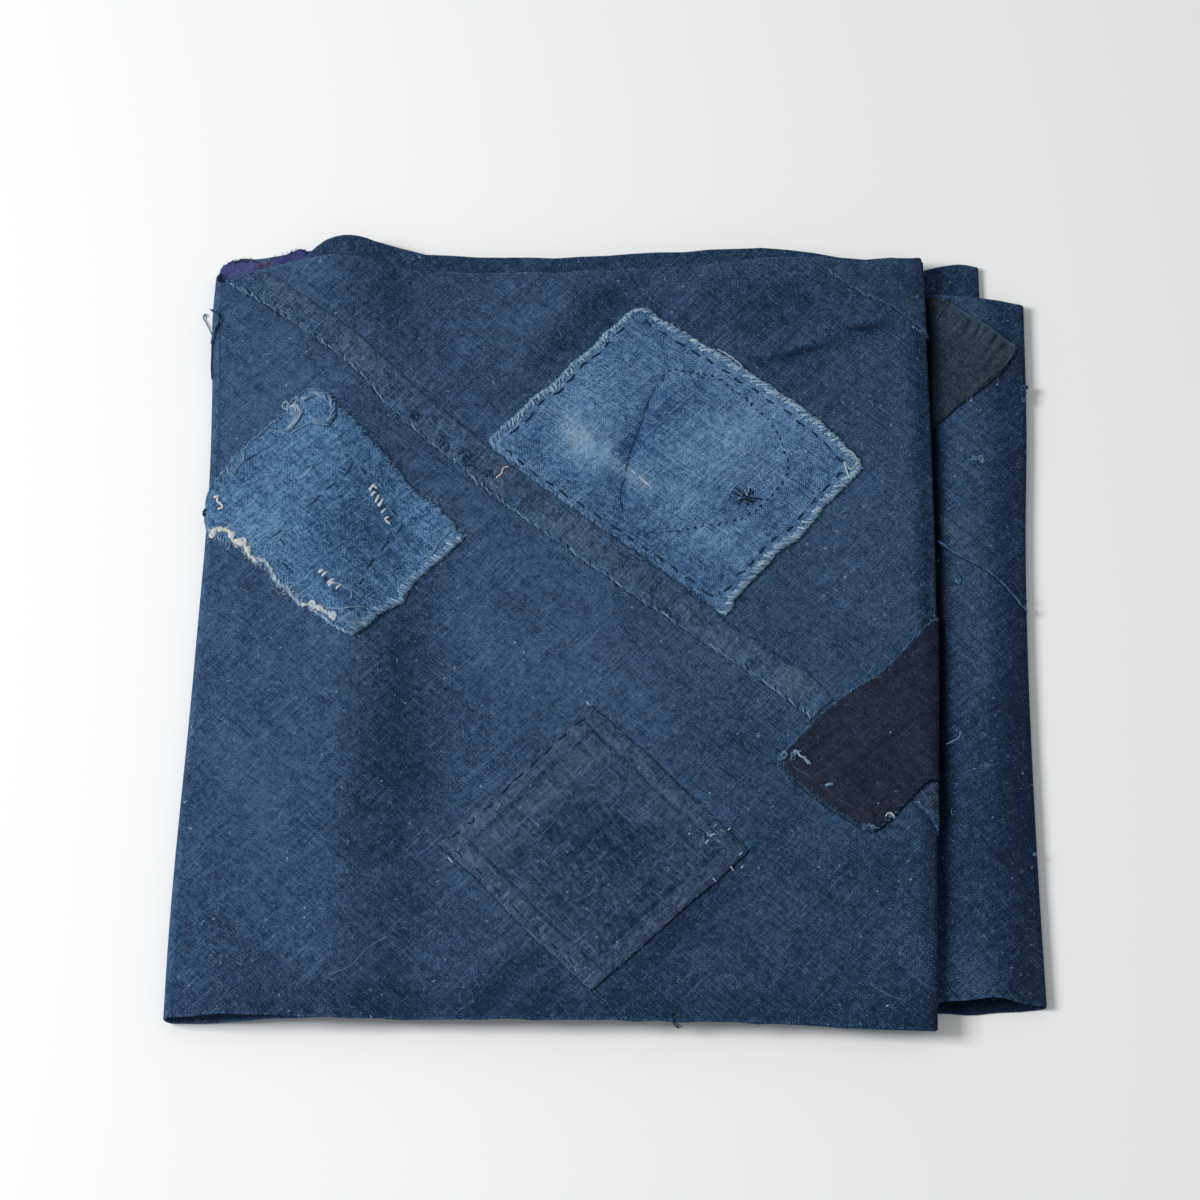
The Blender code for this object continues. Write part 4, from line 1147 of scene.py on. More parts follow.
STRIP_LOOSE = (
    ((-98.8, 101.5), (-97.4, 104), (-95.2, 102.2), (-96.2, 98.7)),
    ((-84, 84.5), (-82, 88), (-79.6, 86), (-81.5, 83)),
    ((-74.5, 82), (-72, 84.5), (-69.6, 82), (-71.5, 78.5), (-74, 78)),
    ((-71, 79), (-68, 77), (-66, 73), (-63, 72.6)),
    ((-62, 70.5), (-59.5, 73.5), (-58.5, 70), (-56, 71)))
STRIP_PINK = ((-56.5, 69.5), (-54, 71.5), (-53.2, 74.5), (-50.8, 75.6))
THIRD_SEAMS = (
    ((153.6, 42.9), (157.3, 39.8), (162.1, 36.2), (166.8, 33.6), (176, 28), (184, 21),
     (190, 14), (194.6, 8)),
    ((152, -171), (153.7, -175.5), (156.2, -180.1), (158.8, -183)))


def whip_side(sewing, made, side, **how):
    """Whip stitches all along one side of a patch."""
    sewing.whip(side_line(made.grid, side, 0), inward(made.grid, side), **how)


def painted_shadow_side(sewing, made, side, out, radius=0.3, start=0.0):
    """A painted shadow: a nearly black thread laid in the gap under a patch's edge, from a share of
    the way along it."""
    line = side_line(made.grid, side, 0) - inward(made.grid, side) * out
    line = line[int(start * len(line)):]
    line = line + sewing.draw.normal(0, PAINTED_SHADOW_WANDER, line.shape)
    heights = np.full(len(line), CLOTH_THICKNESS / 2 - radius * 0.3)
    sewing.shape.threads(lay_on(made.surface.middle, line[:, 0], line[:, 1], heights), radius,
                         PAINTED_SHADOW_TONE)


def sew_frayed(made):
    """The light blue patch's whipped edges, cream frayed side, loops and stitches."""
    sewing = Sewing(made.surface, 301)
    for side, pitch, reach, radius, tones in (
            ("west_north", 1.7, 1.6, 0.3, (0.4, 0.66)),
            ("north_east", 2.2, 2.2, 0.28, (0.36, 0.64)),
            ("south_east", 1.25, 3.0, 0.42, (0.52, 0.8)),
            ("west_south", 1.5, 1.8, 0.28, (0.45, 0.76))):
        whip_side(sewing, made, side, pitch=pitch, reach=reach, out=0.5, radius=radius,
                  tones=tones)
    sewing.rope(side_line(made.grid, "west_north", 0)[::5], 0.3, (0.54, 0.7), strands=2,
                width=0.4, rise=0.1)
    sewing.rope(side_line(made.grid, "south_east", 0)[::5], 0.38, (0.52, 0.72), strands=3,
                width=0.6, rise=0.1, turn_length=3.2)
    sewing.rope(side_line(made.grid, "west_south", 0)[-22::4], 0.34, (0.55, 0.76), strands=3,
                width=0.6, rise=0.1, turn_length=3.2)
    # Painted shadow under two edges.
    painted_shadow_side(sewing, made, "south_east", out=0.7)
    painted_shadow_side(sewing, made, "west_north", out=0.8)
    for side, number in (("west_north", 60), ("north_east", 50), ("south_east", 70),
                         ("west_south", 200)):
        sewing.fluff(side_line(made.grid, side, 0), number, 1.9, 0.12, (0.5, 0.82))
    for start, end, radius, tones in ((0, 7, 0.36, (0.92, 1.0)), (6, 11, 0.3, (0.8, 0.9)),
                                      (10, 14, 0.26, (0.68, 0.84)), (13, 17, 0.34, (0.86, 0.98))):
        sewing.rope(FRAYED_CREAM_EDGE[start:end], radius, tones, strands=3, width=0.6)
    sewing.rope(FRAYED_CREAM_EDGE[5:], 0.26, (0.6, 0.8), strands=2, width=0.9, turn_length=7)
    sewing.fluff(FRAYED_CREAM_EDGE, 160, 1.8, 0.13, (0.78, 1.0), spread=0.7)
    for x, y, size in ((-189.5, 38.8, 1.9), (-186, 40.6, 1.2), (-180.4, 37.8, 1.7),
                       (-175.6, 33.4, 2.4), (-172.4, 30.2, 1.5), (-140.5, 1.8, 1.7),
                       (-137, 0, 1.2), (-130.4, -4.2, 1.5)):
        sewing.tangle(x, y, size, 13, 0.42, (0.86, 0.98))
    for ends in FRAYED_DARK_STITCHES:
        for radius, tone in ((0.36, 0.08), (0.22, 0.22)):
            sewing.stroke(np.array(ends) + sewing.draw.normal(0, 0.25, (2, 2)), radius, tone,
                          rise=0.12)
    for ends in FRAYED_WHITE_STITCHES:
        middle = np.mean(ends, axis=0)
        for radius, tone, share in ((0.5, 0.95, 0.75), (0.34, 0.86, 0.95)):
            bend = middle + sewing.draw.normal(0, 0.35, 2)
            tips = middle + (np.array(ends) - middle) * share + sewing.draw.normal(0, 0.3, (2, 2))
            sewing.stroke((tips[0], bend, tips[1]), radius, tone, rise=0.45)
    for number, points in enumerate(FRAYED_LOOPS):
        sewing.loose(points, 0.24, 0.64, 0.5, strands=2 + number % 2, apart=0.45)
    sewing.rope(FRAYED_LOOPS[0][:7], 0.32, (0.5, 0.76), strands=5, width=1.1, turn_length=9,
                rise=0.6)
    for number in range(7):
        shift = np.array((0.62, 0.22)) * (number - 3)
        points = np.array(FRAYED_TUFT) + shift + sewing.draw.normal(0, 0.22, (6, 2))
        sewing.loose(points, 0.25, sewing.draw.uniform(0.64, 0.84), 0.9, count=30)
    for points in FRAYED_CURLS:
        for strand in range(3):
            curl = np.array(points) + sewing.draw.normal(0, 0.5, (5, 2))
            sewing.loose(curl[strand:], 0.22, sewing.draw.uniform(0.68, 0.84), 1.0)
    sewing.tangle(-157, 106, 2.2, 5, 0.22, (0.62, 0.84), rise=1.0)
    sewing.rope(((-190, 57.5), (-188.3, 58), (-188.6, 55.5), (-186.7, 54.1), (-185.6, 52.1),
                 (-187.9, 51.5)), 0.3, (0.9, 1.0), strands=2, width=0.3)
    sewing.tangle(-195, 51.5, 1.8, 10, 0.36, (0.0, 0.12), rise=0.9)
    sewing.loose(((-149.2, 67.8), (-144.5, 72.9)), 0.2, 0.8, 0.1)
    for x, y in ((-114, 61), (-110, 53), (-107, 48), (-135, 15), (-129, 9)):
        sewing.tangle(x, y, 2.0, 5, 0.2, (0.05, 0.5), rise=0.3)
    return sewing.shape


def sew_faded(made):
    """The pale patch's fluffy whipped edges, its running stitches and its darn."""
    sewing = Sewing(made.surface, 302)
    for side in ("west_north", "north_east", "south_east"):
        whip_side(sewing, made, side, pitch=1.1, reach=2.4, out=0.4, radius=0.38,
                  tones=(0.5, 0.82), slant=1.2)
        whip_side(sewing, made, side, pitch=2.4, reach=2.6, out=0.5, radius=0.44,
                  tones=(0.68, 0.86), slant=1.6, skip=0.25)
        sewing.rope(side_line(made.grid, side, 0)[::3], 0.34, (0.56, 0.78), strands=3, width=0.6,
                    rise=0.15, turn_length=3.4)
        sewing.fluff(side_line(made.grid, side, 0), 170, 1.3, 0.11, (0.5, 0.8), spread=0.7)
    whip_side(sewing, made, "west_south", pitch=4.5, reach=1.2, out=0.5, radius=0.24,
              tones=(0.2, 0.6))
    for side, cells in (("west_north", 4), ("north_east", 4), ("south_east", 4),
                        ("west_south", 2)):
        sewing.running(side_line(made.grid, side, cells), 4.8, 9.2, 0.46, 0.09)
    sewing.running(smooth_line(FADED_DOTS, 60), 1.1, 3.9, 0.38, 0.1, wander=0.35)
    x, y = FADED_STAR
    for number in range(13):
        turn = number * 2 * math.pi / 13 + sewing.draw.uniform(-0.3, 0.3)
        reach = sewing.draw.uniform(4.2, 8.0)
        way = np.array((math.cos(turn), math.sin(turn) * 0.7))
        start = np.array((x, y)) + way * sewing.draw.uniform(0.2, 1.6)
        end = start + way * reach
        bend = (start + end) / 2 + sewing.draw.normal(0, 0.4, 2)
        sewing.stroke((start, bend, end), sewing.draw.uniform(0.32, 0.5),
                      sewing.draw.uniform(0.02, 0.16), rise=0.25)
    for number in range(12):
        turn = sewing.draw.uniform(0, 2 * math.pi)
        place = np.array((x, y)) + np.array((math.cos(turn), math.sin(turn))) * 2.8
        sewing.stroke((place, place + sewing.draw.normal(0, 1.4, 2)), 0.22,
                      sewing.draw.uniform(0.6, 0.82), rise=0.35)
    # Painted shade: thin dark strokes along the crease troughs.
    for line in (((21.1, 124.1), (16.2, 114.1), (11.4, 98.5)), ((11, 97), (6.6, 83.1), (4.8, 73.3)),
                 ((4.4, 71), (3.1, 63.6), (4.5, 51.3))):
        sewing.stroke(np.array(line) + sewing.draw.normal(0, 0.3, (3, 2)), 0.3, 0.1, rise=0.05,
                      count=24)
    sewing.fluff(((-24, 96), (-14, 86)), 46, 1.7, 0.13, (0.82, 0.95), spread=3.0, rise=0.25)
    # Painted shadow under two edges.
    painted_shadow_side(sewing, made, "south_east", out=0.6)
    painted_shadow_side(sewing, made, "west_north", out=0.7, radius=0.24)
    sewing.tangle(57, 55.5, 1.4, 5, 0.22, (0.4, 0.75))
    sewing.tangle(21, 122.5, 1.4, 5, 0.24, (0.4, 0.75))
    for points in FADED_LOOSE:
        sewing.loose(points, 0.24, 0.82, 0.7, strands=2)
    sewing.tangle(113.5, 82, 2.2, 6, 0.24, (0.3, 0.9))
    sewing.stroke(((11, 71), (14, 68.4), (16.7, 65.9)), 0.22, 0.97, rise=0.12)
    sewing.stroke(((7.5, 74), (10, 72)), 0.18, 0.9, rise=0.1)
    sewing.fluff(side_line(made.grid, "west_south", 0), 60, 1.4, 0.11, (0.45, 0.8), spread=0.5)
    return sewing.shape


def sew_hemmed(made):
    """The grey patch's dark running stitches and small worn ticks."""
    sewing = Sewing(made.surface, 303)
    for side, cells, length, pitch, radius, tone in (
            ("west_north", 2, 5.2, 10.2, 0.42, 0.05), ("west_south", 2, 4.6, 12.0, 0.38, 0.06),
            ("north_east", 3, 2.4, 11.0, 0.26, 0.16), ("south_east", 4, 3.0, 12.0, 0.26, 0.12)):
        sewing.running(side_line(made.grid, side, cells), length, pitch, radius, tone)
    for side in SIDES:
        whip_side(sewing, made, side, pitch=6.5, reach=1.0, out=0.3, radius=0.2,
                  tones=(0.3, 0.6), skip=0.3)
        sewing.fluff(side_line(made.grid, side, 0), 36, 1.1, 0.08, (0.4, 0.7), spread=0.4)
    # Painted shadow under all four edges.
    for side, out, radius in (("south_east", 0.6, 0.42), ("west_south", 0.5, 0.26),
                              ("west_north", 0.5, 0.24), ("north_east", 0.5, 0.26)):
        painted_shadow_side(sewing, made, side, out, radius)
    for ends in (((45.8, -110.2), (47.9, -109.1)), ((43.8, -113.5), (45.2, -112)),
                 ((55, -124), (56.4, -125.4)), ((59, -118.6), (60.2, -117.4)),
                 ((46.9, -130), (48.3, -131.4)), ((60, -124.2), (61, -123.4)),
                 ((53.9, -106.8), (55, -105.8)), ((-11.5, -44.6), (-10.4, -46.2)),
                 ((-73, -121.5), (-71, -124))):
        sewing.stroke(ends, 0.32, 0.84, rise=0.4)
    sewing.fluff(((42, -112), (48, -108), (52, -112)), 20, 1.8, 0.1, (0.6, 0.85), spread=1.6)
    return sewing.shape


def sew_dark(made):
    """The dark patch's indigo fringe, its tufts and loose fibres."""
    sewing = Sewing(made.surface, 304)
    for side, tones in (("west_north", (0.3, 0.52)), ("west_south", (0.15, 0.42))):
        whip_side(sewing, made, side, pitch=2.0, reach=0.7, out=0.6, radius=0.28, tones=tones,
                  slant=1.2, skip=0.15)
        sewing.rope(side_line(made.grid, side, 0)[::4], 0.24, tones, strands=2, width=0.35,
                    rise=0.0)
        sewing.fluff(side_line(made.grid, side, 0), 90, 1.4, 0.11, (0.28, 0.6), spread=0.6)
    whip_side(sewing, made, "south_east", pitch=3.2, reach=1.4, out=0.5, radius=0.26,
              tones=(0.15, 0.55))
    # Painted shadow under two edges.
    painted_shadow_side(sewing, made, "west_south", out=0.7)
    painted_shadow_side(sewing, made, "south_east", out=0.6, radius=0.26)
    sewing.loose(((84, -68.5), (85.5, -67.4), (86.9, -70), (88.3, -71), (91.2, -74)), 0.26, 0.74,
                 0.7, strands=4, apart=0.7)
    sewing.loose(((83, -72), (84.5, -68), (87, -67.5)), 0.26, 0.55, 0.6, strands=3, apart=0.8)
    sewing.tangle(78.5, -70, 2.2, 9, 0.28, (0.3, 0.75))
    sewing.stroke(((98.6, -84.3), (100.2, -83.6), (101.9, -83.6)), 0.75, 0.62, rise=0.4)
    sewing.loose(((126, -99.5), (128, -97.6), (130, -99.8)), 0.24, 0.88, 0.5, strands=2)
    for x, y, size, palest in ((128, -98.5, 1.4, 0.7), (116, -104, 1.6, 0.7),
                               (119.5, -104, 1.4, 0.8)):
        sewing.tangle(x, y, size, 5, 0.2, (0.3, palest))
    sewing.stroke(((113.4, -72.1), (123.2, -64.2), (135, -54.6), (144.9, -46.6)), 0.2, 0.02,
                  rise=0.1, count=30)
    for points in (((139.6, -17.6), (143, -15.9)), ((83.5, -75.2), (91.2, -80.2)),
                   ((103.6, -90.3), (110.3, -94.3)), ((96, -84), (100, -87))):
        sewing.loose(points, 0.1, 0.45, 0.1)
    sewing.loose(((140.3, -81), (143.2, -79.9), (148, -79.3), (152.5, -79.2)), 0.36, 0.22, 0.5,
                 strands=2, apart=0.3)
    sewing.loose(((128, -58), (129, -57.2)), 0.2, 0.75, 0.15)
    sewing.loose(((122, -93), (123, -92.2)), 0.2, 0.7, 0.15)
    return sewing.shape


def sew_olive(made):
    """The pleated patch's worn fibres, the painted shadow under its edge and the painted shade
    along its pleats.
    """
    sewing = Sewing(made.surface, 305)
    sewing.fluff(((184, 142), (190, 147), (193, 150), (188, 152)), 16, 1.2, 0.09, (0.4, 0.7),
                 spread=0.7)
    sewing.fluff(((158, 108), (172, 121), (184, 132)), 30, 1.2, 0.09, (0.3, 0.55), spread=0.7)
    # Painted shadow under the lower edge.
    painted_shadow_side(sewing, made, "west_south", out=0.6, radius=0.5)
    for shift in (0.0, 1.1):
        sewing.loose(((162.5, 169.6 - shift), (172.2, 162.8 - shift), (183.8, 155.2 - shift),
                      (193, 148.2 - shift)), 0.14, 0.5 - shift * 0.1, 0.1)
    sewing.loose(((185, 134.5), (191.4, 143.6), (193.2, 147)), 0.14, 0.5, 0.1)
    # Painted shade: nearly black strokes in the folds between the pleats.
    for ends in (((167.1, 164.4), (170, 161.1)), ((172, 162.3), (166.8, 152)),
                 ((176.9, 159), (172.7, 151)), ((178.8, 156.7), (174.7, 148.8)),
                 ((183.7, 154.6), (179.6, 146.7)), ((188.5, 151), (185, 144.5))):
        sewing.stroke(ends, 0.24, 0.03, rise=0.03, count=12)
    return sewing.shape


def sew_purple(made):
    """The purple patch's frayed back edge."""
    sewing = Sewing(made.surface, 306)
    sewing.fluff(side_line(made.grid, "north_east", 0), 70, 1.8, 0.12, (0.05, 0.35), spread=0.5)
    sewing.fluff(((-176, 191), (-172, 191)), 16, 1.4, 0.1, (0.62, 0.86), spread=0.5)
    return sewing.shape


def sew_strip(made):
    """The strip's whipped edge, its puckers' stitches and caught loops."""
    sewing = Sewing(made.surface, 307)
    edge = side_line(made.grid, "west_south", 0)
    place = 0
    while place < len(edge) - 8:
        step = int(sewing.draw.integers(8, 20))
        part = edge[place:place + step:3] + sewing.draw.normal(0, 0.15, 2)
        if len(part) > 2:
            sewing.rope(part, sewing.draw.uniform(0.13, 0.2), (0.32, 0.5), strands=2,
                        width=0.24, rise=0.0, turn_length=5)
        place += step + int(sewing.draw.integers(0, 4))
    # Painted shadow under the whipped edge.
    painted_shadow_side(sewing, made, "west_south", out=0.5, radius=0.26, start=0.04)
    whip_side(sewing, made, "west_south", pitch=2.5, reach=0.9, out=0.4, radius=0.27,
              tones=(0.42, 0.74), slant=1.5, skip=0.15)
    whip_side(sewing, made, "west_south", pitch=6.0, reach=1.6, out=0.3, radius=0.24,
              tones=(0.05, 0.2), slant=0.5, skip=0.2)
    sewing.fluff(edge, 260, 1.1, 0.09, (0.4, 0.78), spread=0.4)
    upper = side_line(made.grid, "north_east", 0)
    upper = upper[len(upper) // 3:]
    sewing.fluff(upper, 70, 1.2, 0.10, (0.3, 0.65), spread=0.4)
    sewing.running(upper, 2.6, 9.5, 0.26, 0.14)
    for points in STRIP_LOOSE:
        sewing.loose(points, 0.24, 0.3, 0.6, strands=2, apart=0.5)
    # Dark knots, each with a few pale threads on its side towards the light as a painted highlight.
    for x, y in ((-96, 101), (-82, 85), (-72, 80), (-69, 77), (-61, 72)):
        sewing.tangle(x, y, 1.9, 8, 0.3, (0.02, 0.3))
        sewing.tangle(x - 0.5, y + 0.5, 1.2, 3, 0.2, (0.5, 0.8))
    sewing.tangle(-182, 168, 1.6, 5, 0.22, (0.3, 0.8))
    sewing.tangle(-178.6, 167.8, 1.2, 4, 0.2, (0.3, 0.8))
    sewing.rope(STRIP_PINK, 0.2, (0.93, 1.0), strands=2, width=0.25)
    return sewing.shape


def sew_corner(made):
    """The corner panel's seam with its frays."""
    sewing = Sewing(made.surface, 308)
    edge = side_line(made.grid, "west_south", 0)
    whip_side(sewing, made, "west_south", pitch=3.4, reach=0.6, out=0.5, radius=0.22,
              tones=(0.32, 0.6), slant=1.3, skip=0.2)
    sewing.fluff(edge, 110, 1.3, 0.08, (0.35, 0.65), spread=0.5)
    # Painted shadow under the seam's edge.
    painted_shadow_side(sewing, made, "west_south", out=0.45, radius=0.22)
    for x, y in ((123.6, 189), (127, 187), (137.9, 175.8), (145, 171)):
        sewing.tangle(x, y, 1.3, 4, 0.14, (0.35, 0.6))
    return sewing.shape


def sew_cloth():
    """What is caught in the bare cloth: tufts, hairs, mends and the seam on the layer
    that shows at the right."""
    top = Sewing(Surface(top_middle), 309)
    for x, y, tone in ((146.9, 153.5, 0.7), (143.5, 154.8, 0.6), (135, 148.5, 0.55)):
        top.tangle(x, y, 0.7, 3, 0.13, (tone - 0.1, tone + 0.1), rise=0.2)
    top.loose(((117.5, -178.1), (121.9, -181.3), (126.3, -183.6), (132.1, -185.8)), 0.06, 0.66,
              0.2)
    top.loose(((-99, -159.5), (-108.5, -165.4), (-114.3, -173.2), (-124.5, -178.5)), 0.06, 0.7,
              0.3)
    top.stroke(((124.6, -188.6), (125.8, -188.2)), 0.3, 0.85)
    top.fluff(((-180, -150), (-60, -120), (60, -100), (130, -120)), 50, 3.0, 0.07, (0.6, 0.85),
              spread=28, rise=0.2)
    top.fluff(((-170, 140), (-60, 150), (40, 60), (130, 60)), 50, 3.0, 0.07, (0.6, 0.85),
              spread=30, rise=0.2)
    for tone, apart in ((0.12, 0.32), (0.3, 0.3), (0.45, 0.26)):
        top.hanging(((-196.6, 141, 9.9), (-195.6, 147.8, 11.2), (-193.8, 153.4, 12.6),
                     (-195.4, 155.8, 12.4), (-198, 159, 11.6)), 0.24, tone, strands=3, apart=apart)
    top.hanging(((-195.4, 121.5, 9.7), (-196, 128, 9.7), (-196.3, 135, 9.7), (-196.5, 141, 9.8),
                 (-195.6, 147, 10.8)), 0.24, 0.1, strands=3, apart=0.26)
    for tone in (0.1, 0.76, 0.2):
        top.hanging(((-196.2, 144.4, 10.2), (-197.9, 148.7, 10.4), (-200.1, 152.9, 10.6),
                     (-201.5, 155.8, 10.4), (-200.4, 157, 10.4), (-199.8, 155, 10.4)), 0.17, tone,
                    strands=2, apart=0.25)
    top.hanging(((29, -193.5, 12.5), (30.6, -197.6, 11), (32.9, -199.4, 9.4)), 0.26, 0.15,
                strands=3, apart=0.5)
    shape = top.shape
    third = Sewing(Surface(third_middle), 310)
    third.shape = shape
    for points, radius, tones in zip(THIRD_SEAMS, (0.4, 0.24), ((0.3, 0.44), (0.1, 0.28))):
        third.rope(points, radius, tones, strands=2, width=0.3, rise=0.0)
        third.loose(np.array(points) - (0.8, 1.1), 0.26, 0.02, 0.0, count=30)
        third.fluff(points, 40, 1.3, 0.08, (0.35, 0.62), spread=0.6)
    third.loose(((156.9, 55.5), (163.5, 50), (171, 43.5), (180, 34), (189, 22), (194.6, 13)),
                0.26, 0.32, 0.0, count=40)
    third.fluff(((155.7, 52.6), (163.5, 54.3), (168.3, 52.8)), 18, 1.8, 0.09, (0.4, 0.66),
                spread=0.8)
    for x, y, size in ((174.5, 86, 1.9), (171.6, 86.4, 1.2), (162.1, 21.8, 1.9)):
        third.tangle(x, y, size, 7, 0.27, (0.42, 0.66))
        third.tangle(x, y, size, 3, 0.2, (0.02, 0.2))
    third.loose(((155.3, -60.9), (158.8, -59.3), (161.3, -56.7), (161.8, -55)), 0.26, 0.55, 0.4,
                strands=2, apart=0.5)
    for x, y in ((180.1, 163), (190, 162.6), (184, 127.2)):
        third.tangle(x, y, 0.5, 2, 0.13, (0.6, 0.8), rise=0.2)
    third.tangle(170, 117.5, 1.4, 5, 0.22, (0.45, 0.7))
    for x, y, size, number, radius, tones, rise in (
            (196.9, 126.2, 1.7, 12, 0.36, (0.15, 0.42), 0.8),
            (196.4, 119.6, 1.4, 9, 0.32, (0.15, 0.45), 0.8),
            (196.8, 123, 1.2, 8, 0.34, (0.1, 0.35), 0.6),
            (194.6, -113.3, 1.0, 4, 0.2, (0.4, 0.7), 0.8)):
        third.tangle(x, y, size, number, radius, tones, rise)
    third.fluff(((160, -150), (170, 0), (175, 110)), 40, 2.6, 0.07, (0.5, 0.8), spread=9,
                rise=0.2)
    return shape


SEWN_THREADS = {"frayed_patch": sew_frayed, "faded_patch": sew_faded,
                "hemmed_patch": sew_hemmed, "dark_patch": sew_dark, "olive_patch": sew_olive,
                "purple_patch": sew_purple, "strip": sew_strip, "corner": sew_corner}


# The materials.
class Graph:
    """A material's node tree, with short ways to add what the weaves are made of."""

    def __init__(self, name):
        self.material = bpy.data.materials.new(name)
        self.material.use_nodes = True
        self.tree = self.material.node_tree
        self.shader = self.tree.nodes["Principled BSDF"]

    def node(self, kind, inputs=(), **settings):
        """A node with its settings, and its inputs by number or name: values or sockets."""
        node = self.tree.nodes.new("ShaderNode" + kind)
        for key, value in settings.items():
            setattr(node, key, value)
        for key, value in dict(inputs).items():
            if isinstance(value, bpy.types.NodeSocket):
                self.tree.links.new(value, node.inputs[key])
            else:
                node.inputs[key].default_value = value
        return node

    def math(self, operation, *values, clamp=False):
        return self.node("Math", enumerate(values), operation=operation, use_clamp=clamp).outputs[0]

    def vector(self, operation, *values, scale=None):
        node = self.node("VectorMath", enumerate(values), operation=operation)
        if scale is not None:
            node.inputs["Scale"].default_value = scale
        return node.outputs["Value" if operation == "DOT_PRODUCT" else "Vector"]

    def pair(self, x, y):
        return self.node("CombineXYZ", {0: x, 1: y}).outputs[0]

    def noise(self, place, scale, detail=0.0, output="Fac"):
        return self.node(
            "TexNoise", {"Vector": place, "Scale": scale, "Detail": detail, "Roughness": 0.55},
            noise_dimensions="2D").outputs[output]

    def range(self, value, low, high, start=0.0, end=1.0):
        """The value from low to high turned into start to end, and held at both."""
        return self.node("MapRange", {0: value, 1: low, 2: high, 3: start, 4: end}).outputs[0]

    def blend(self, share, first, second):
        """A colour between two."""
        node = self.node("Mix", data_type="RGBA")
        for number, value in ((0, share), (6, first), (7, second)):
            if isinstance(value, bpy.types.NodeSocket):
                self.tree.links.new(value, node.inputs[number])
            else:
                node.inputs[number].default_value = value if number == 0 else (*value, 1)
        return node.outputs[2]

    def attribute(self, name):
        return self.node("Attribute", attribute_name=name).outputs["Fac"]

    def moved(self, place, scale, detail, reach):
        """A place moved by soft noise, so that what is laid out on it wanders."""
        drift = self.vector("SUBTRACT", self.noise(place, scale, detail, "Color"), (0.5, 0.5, 0.5))
        return self.vector("ADD", place, self.vector("SCALE", drift, scale=reach))

    def finish(self, colour, roughness, specular):
        """The material, with its colour and its shine."""
        self.tree.links.new(colour, self.shader.inputs["Base Color"])
        self.shader.inputs["Roughness"].default_value = roughness
        self.shader.inputs["Specular IOR Level"].default_value = specular
        return self.material


# A woven cloth: the spacing of its threads in mm, the two ways they run in degrees
# from x, its dark, middle and pale colours, its worn colour, how uneven its threads
# are, how much pale fluff and how many thick places it has, and how crumpled it is.
Weave = namedtuple("Weave", "name pitch turns dark middle pale worn uneven fluff slub crumple")

INDIGO = Weave("indigo", 0.645, (-38.5, 45.6), (0.006, 0.018, 0.048), (0.023, 0.058, 0.128),
               (0.070, 0.140, 0.255), (0.046, 0.058, 0.088), 0.96, 0.75, 0.5, 0.8)
LIGHT_BLUE = Weave("light_blue", 0.84, (-40.5, 40.5), (0.008, 0.034, 0.088),
                   (0.044, 0.122, 0.250), (0.165, 0.310, 0.480), (0.10, 0.13, 0.15),
                   0.98, 0.5, 0.4, 0.7)
FADED_BLUE = Weave("faded_blue", 0.68, (-36.5, 45.0), (0.010, 0.040, 0.112),
                   (0.050, 0.130, 0.268), (0.200, 0.350, 0.520), (0.24, 0.30, 0.28),
                   0.96, 0.5, 0.4, 0.8)
GREY_INDIGO = Weave("grey_indigo", 0.68, (-44.5, 45.5), (0.004, 0.013, 0.040),
                    (0.016, 0.038, 0.092), (0.085, 0.150, 0.250), (0.046, 0.056, 0.080),
                    0.86, 0.9, 0.9, 0.8)
VIOLET_BLACK = Weave("violet_black", 0.6, (-40.0, 42.0), (0.004, 0.006, 0.015),
                     (0.011, 0.016, 0.036), (0.042, 0.055, 0.095), (0.030, 0.024, 0.034),
                     0.66, 0.3, 0.3, 0.6)
DARK_OLIVE = Weave("dark_olive", 0.62, (-34.0, 56.0), (0.004, 0.013, 0.023),
                   (0.015, 0.036, 0.060), (0.052, 0.095, 0.120), (0.048, 0.048, 0.050),
                   0.85, 0.3, 0.5, 0.8)
PURPLE_CLOTH = Weave("purple_cloth", 0.6, (-30.0, 60.0), (0.016, 0.014, 0.062),
                     (0.042, 0.055, 0.178), (0.100, 0.128, 0.300), (0.20, 0.09, 0.05),
                     0.45, 0.2, 0.2, 0.6)
STRIP_BLUE = Weave("strip_blue", 0.645, (-40.0, 50.0), (0.007, 0.020, 0.052),
                   (0.025, 0.065, 0.140), (0.088, 0.170, 0.290), (0.059, 0.068, 0.098),
                   1.05, 0.65, 0.8, 1.7)
PANEL_BLUE = Weave("panel_blue", 0.645, (-38.5, 45.6), (0.006, 0.016, 0.042),
                   (0.018, 0.044, 0.100), (0.065, 0.120, 0.205), (0.044, 0.058, 0.084),
                   0.80, 0.5, 0.5, 0.8)
FLUFF_COLOUR = (0.44, 0.54, 0.60)


# How far each part of a weave moves its tone, and how high it stands, in millimetres.
GRAIN_SHARE = 0.8         # of how uneven the threads are
MOTTLE_TONE = 0.50
CLOUD_TONE = 0.38
THREAD_GAP_PAINTED_SHADE = 0.62         # painted shade between the threads, from there to their paler tops
FACE_TONE = 0.26          # between the threads of the two ways
SLUB_TONE = 0.35
SINGLE_TONE = 0.34        # of the few pale threads
CROWN_RELIEF = 0.10
GRAIN_RELIEF = 0.16
CREASE_RELIEF = 1.1
SLUB_RELIEF = 0.10
WORN_SHADES = (0.55, 1.6)     # of the worn colour, in its dark and its pale places
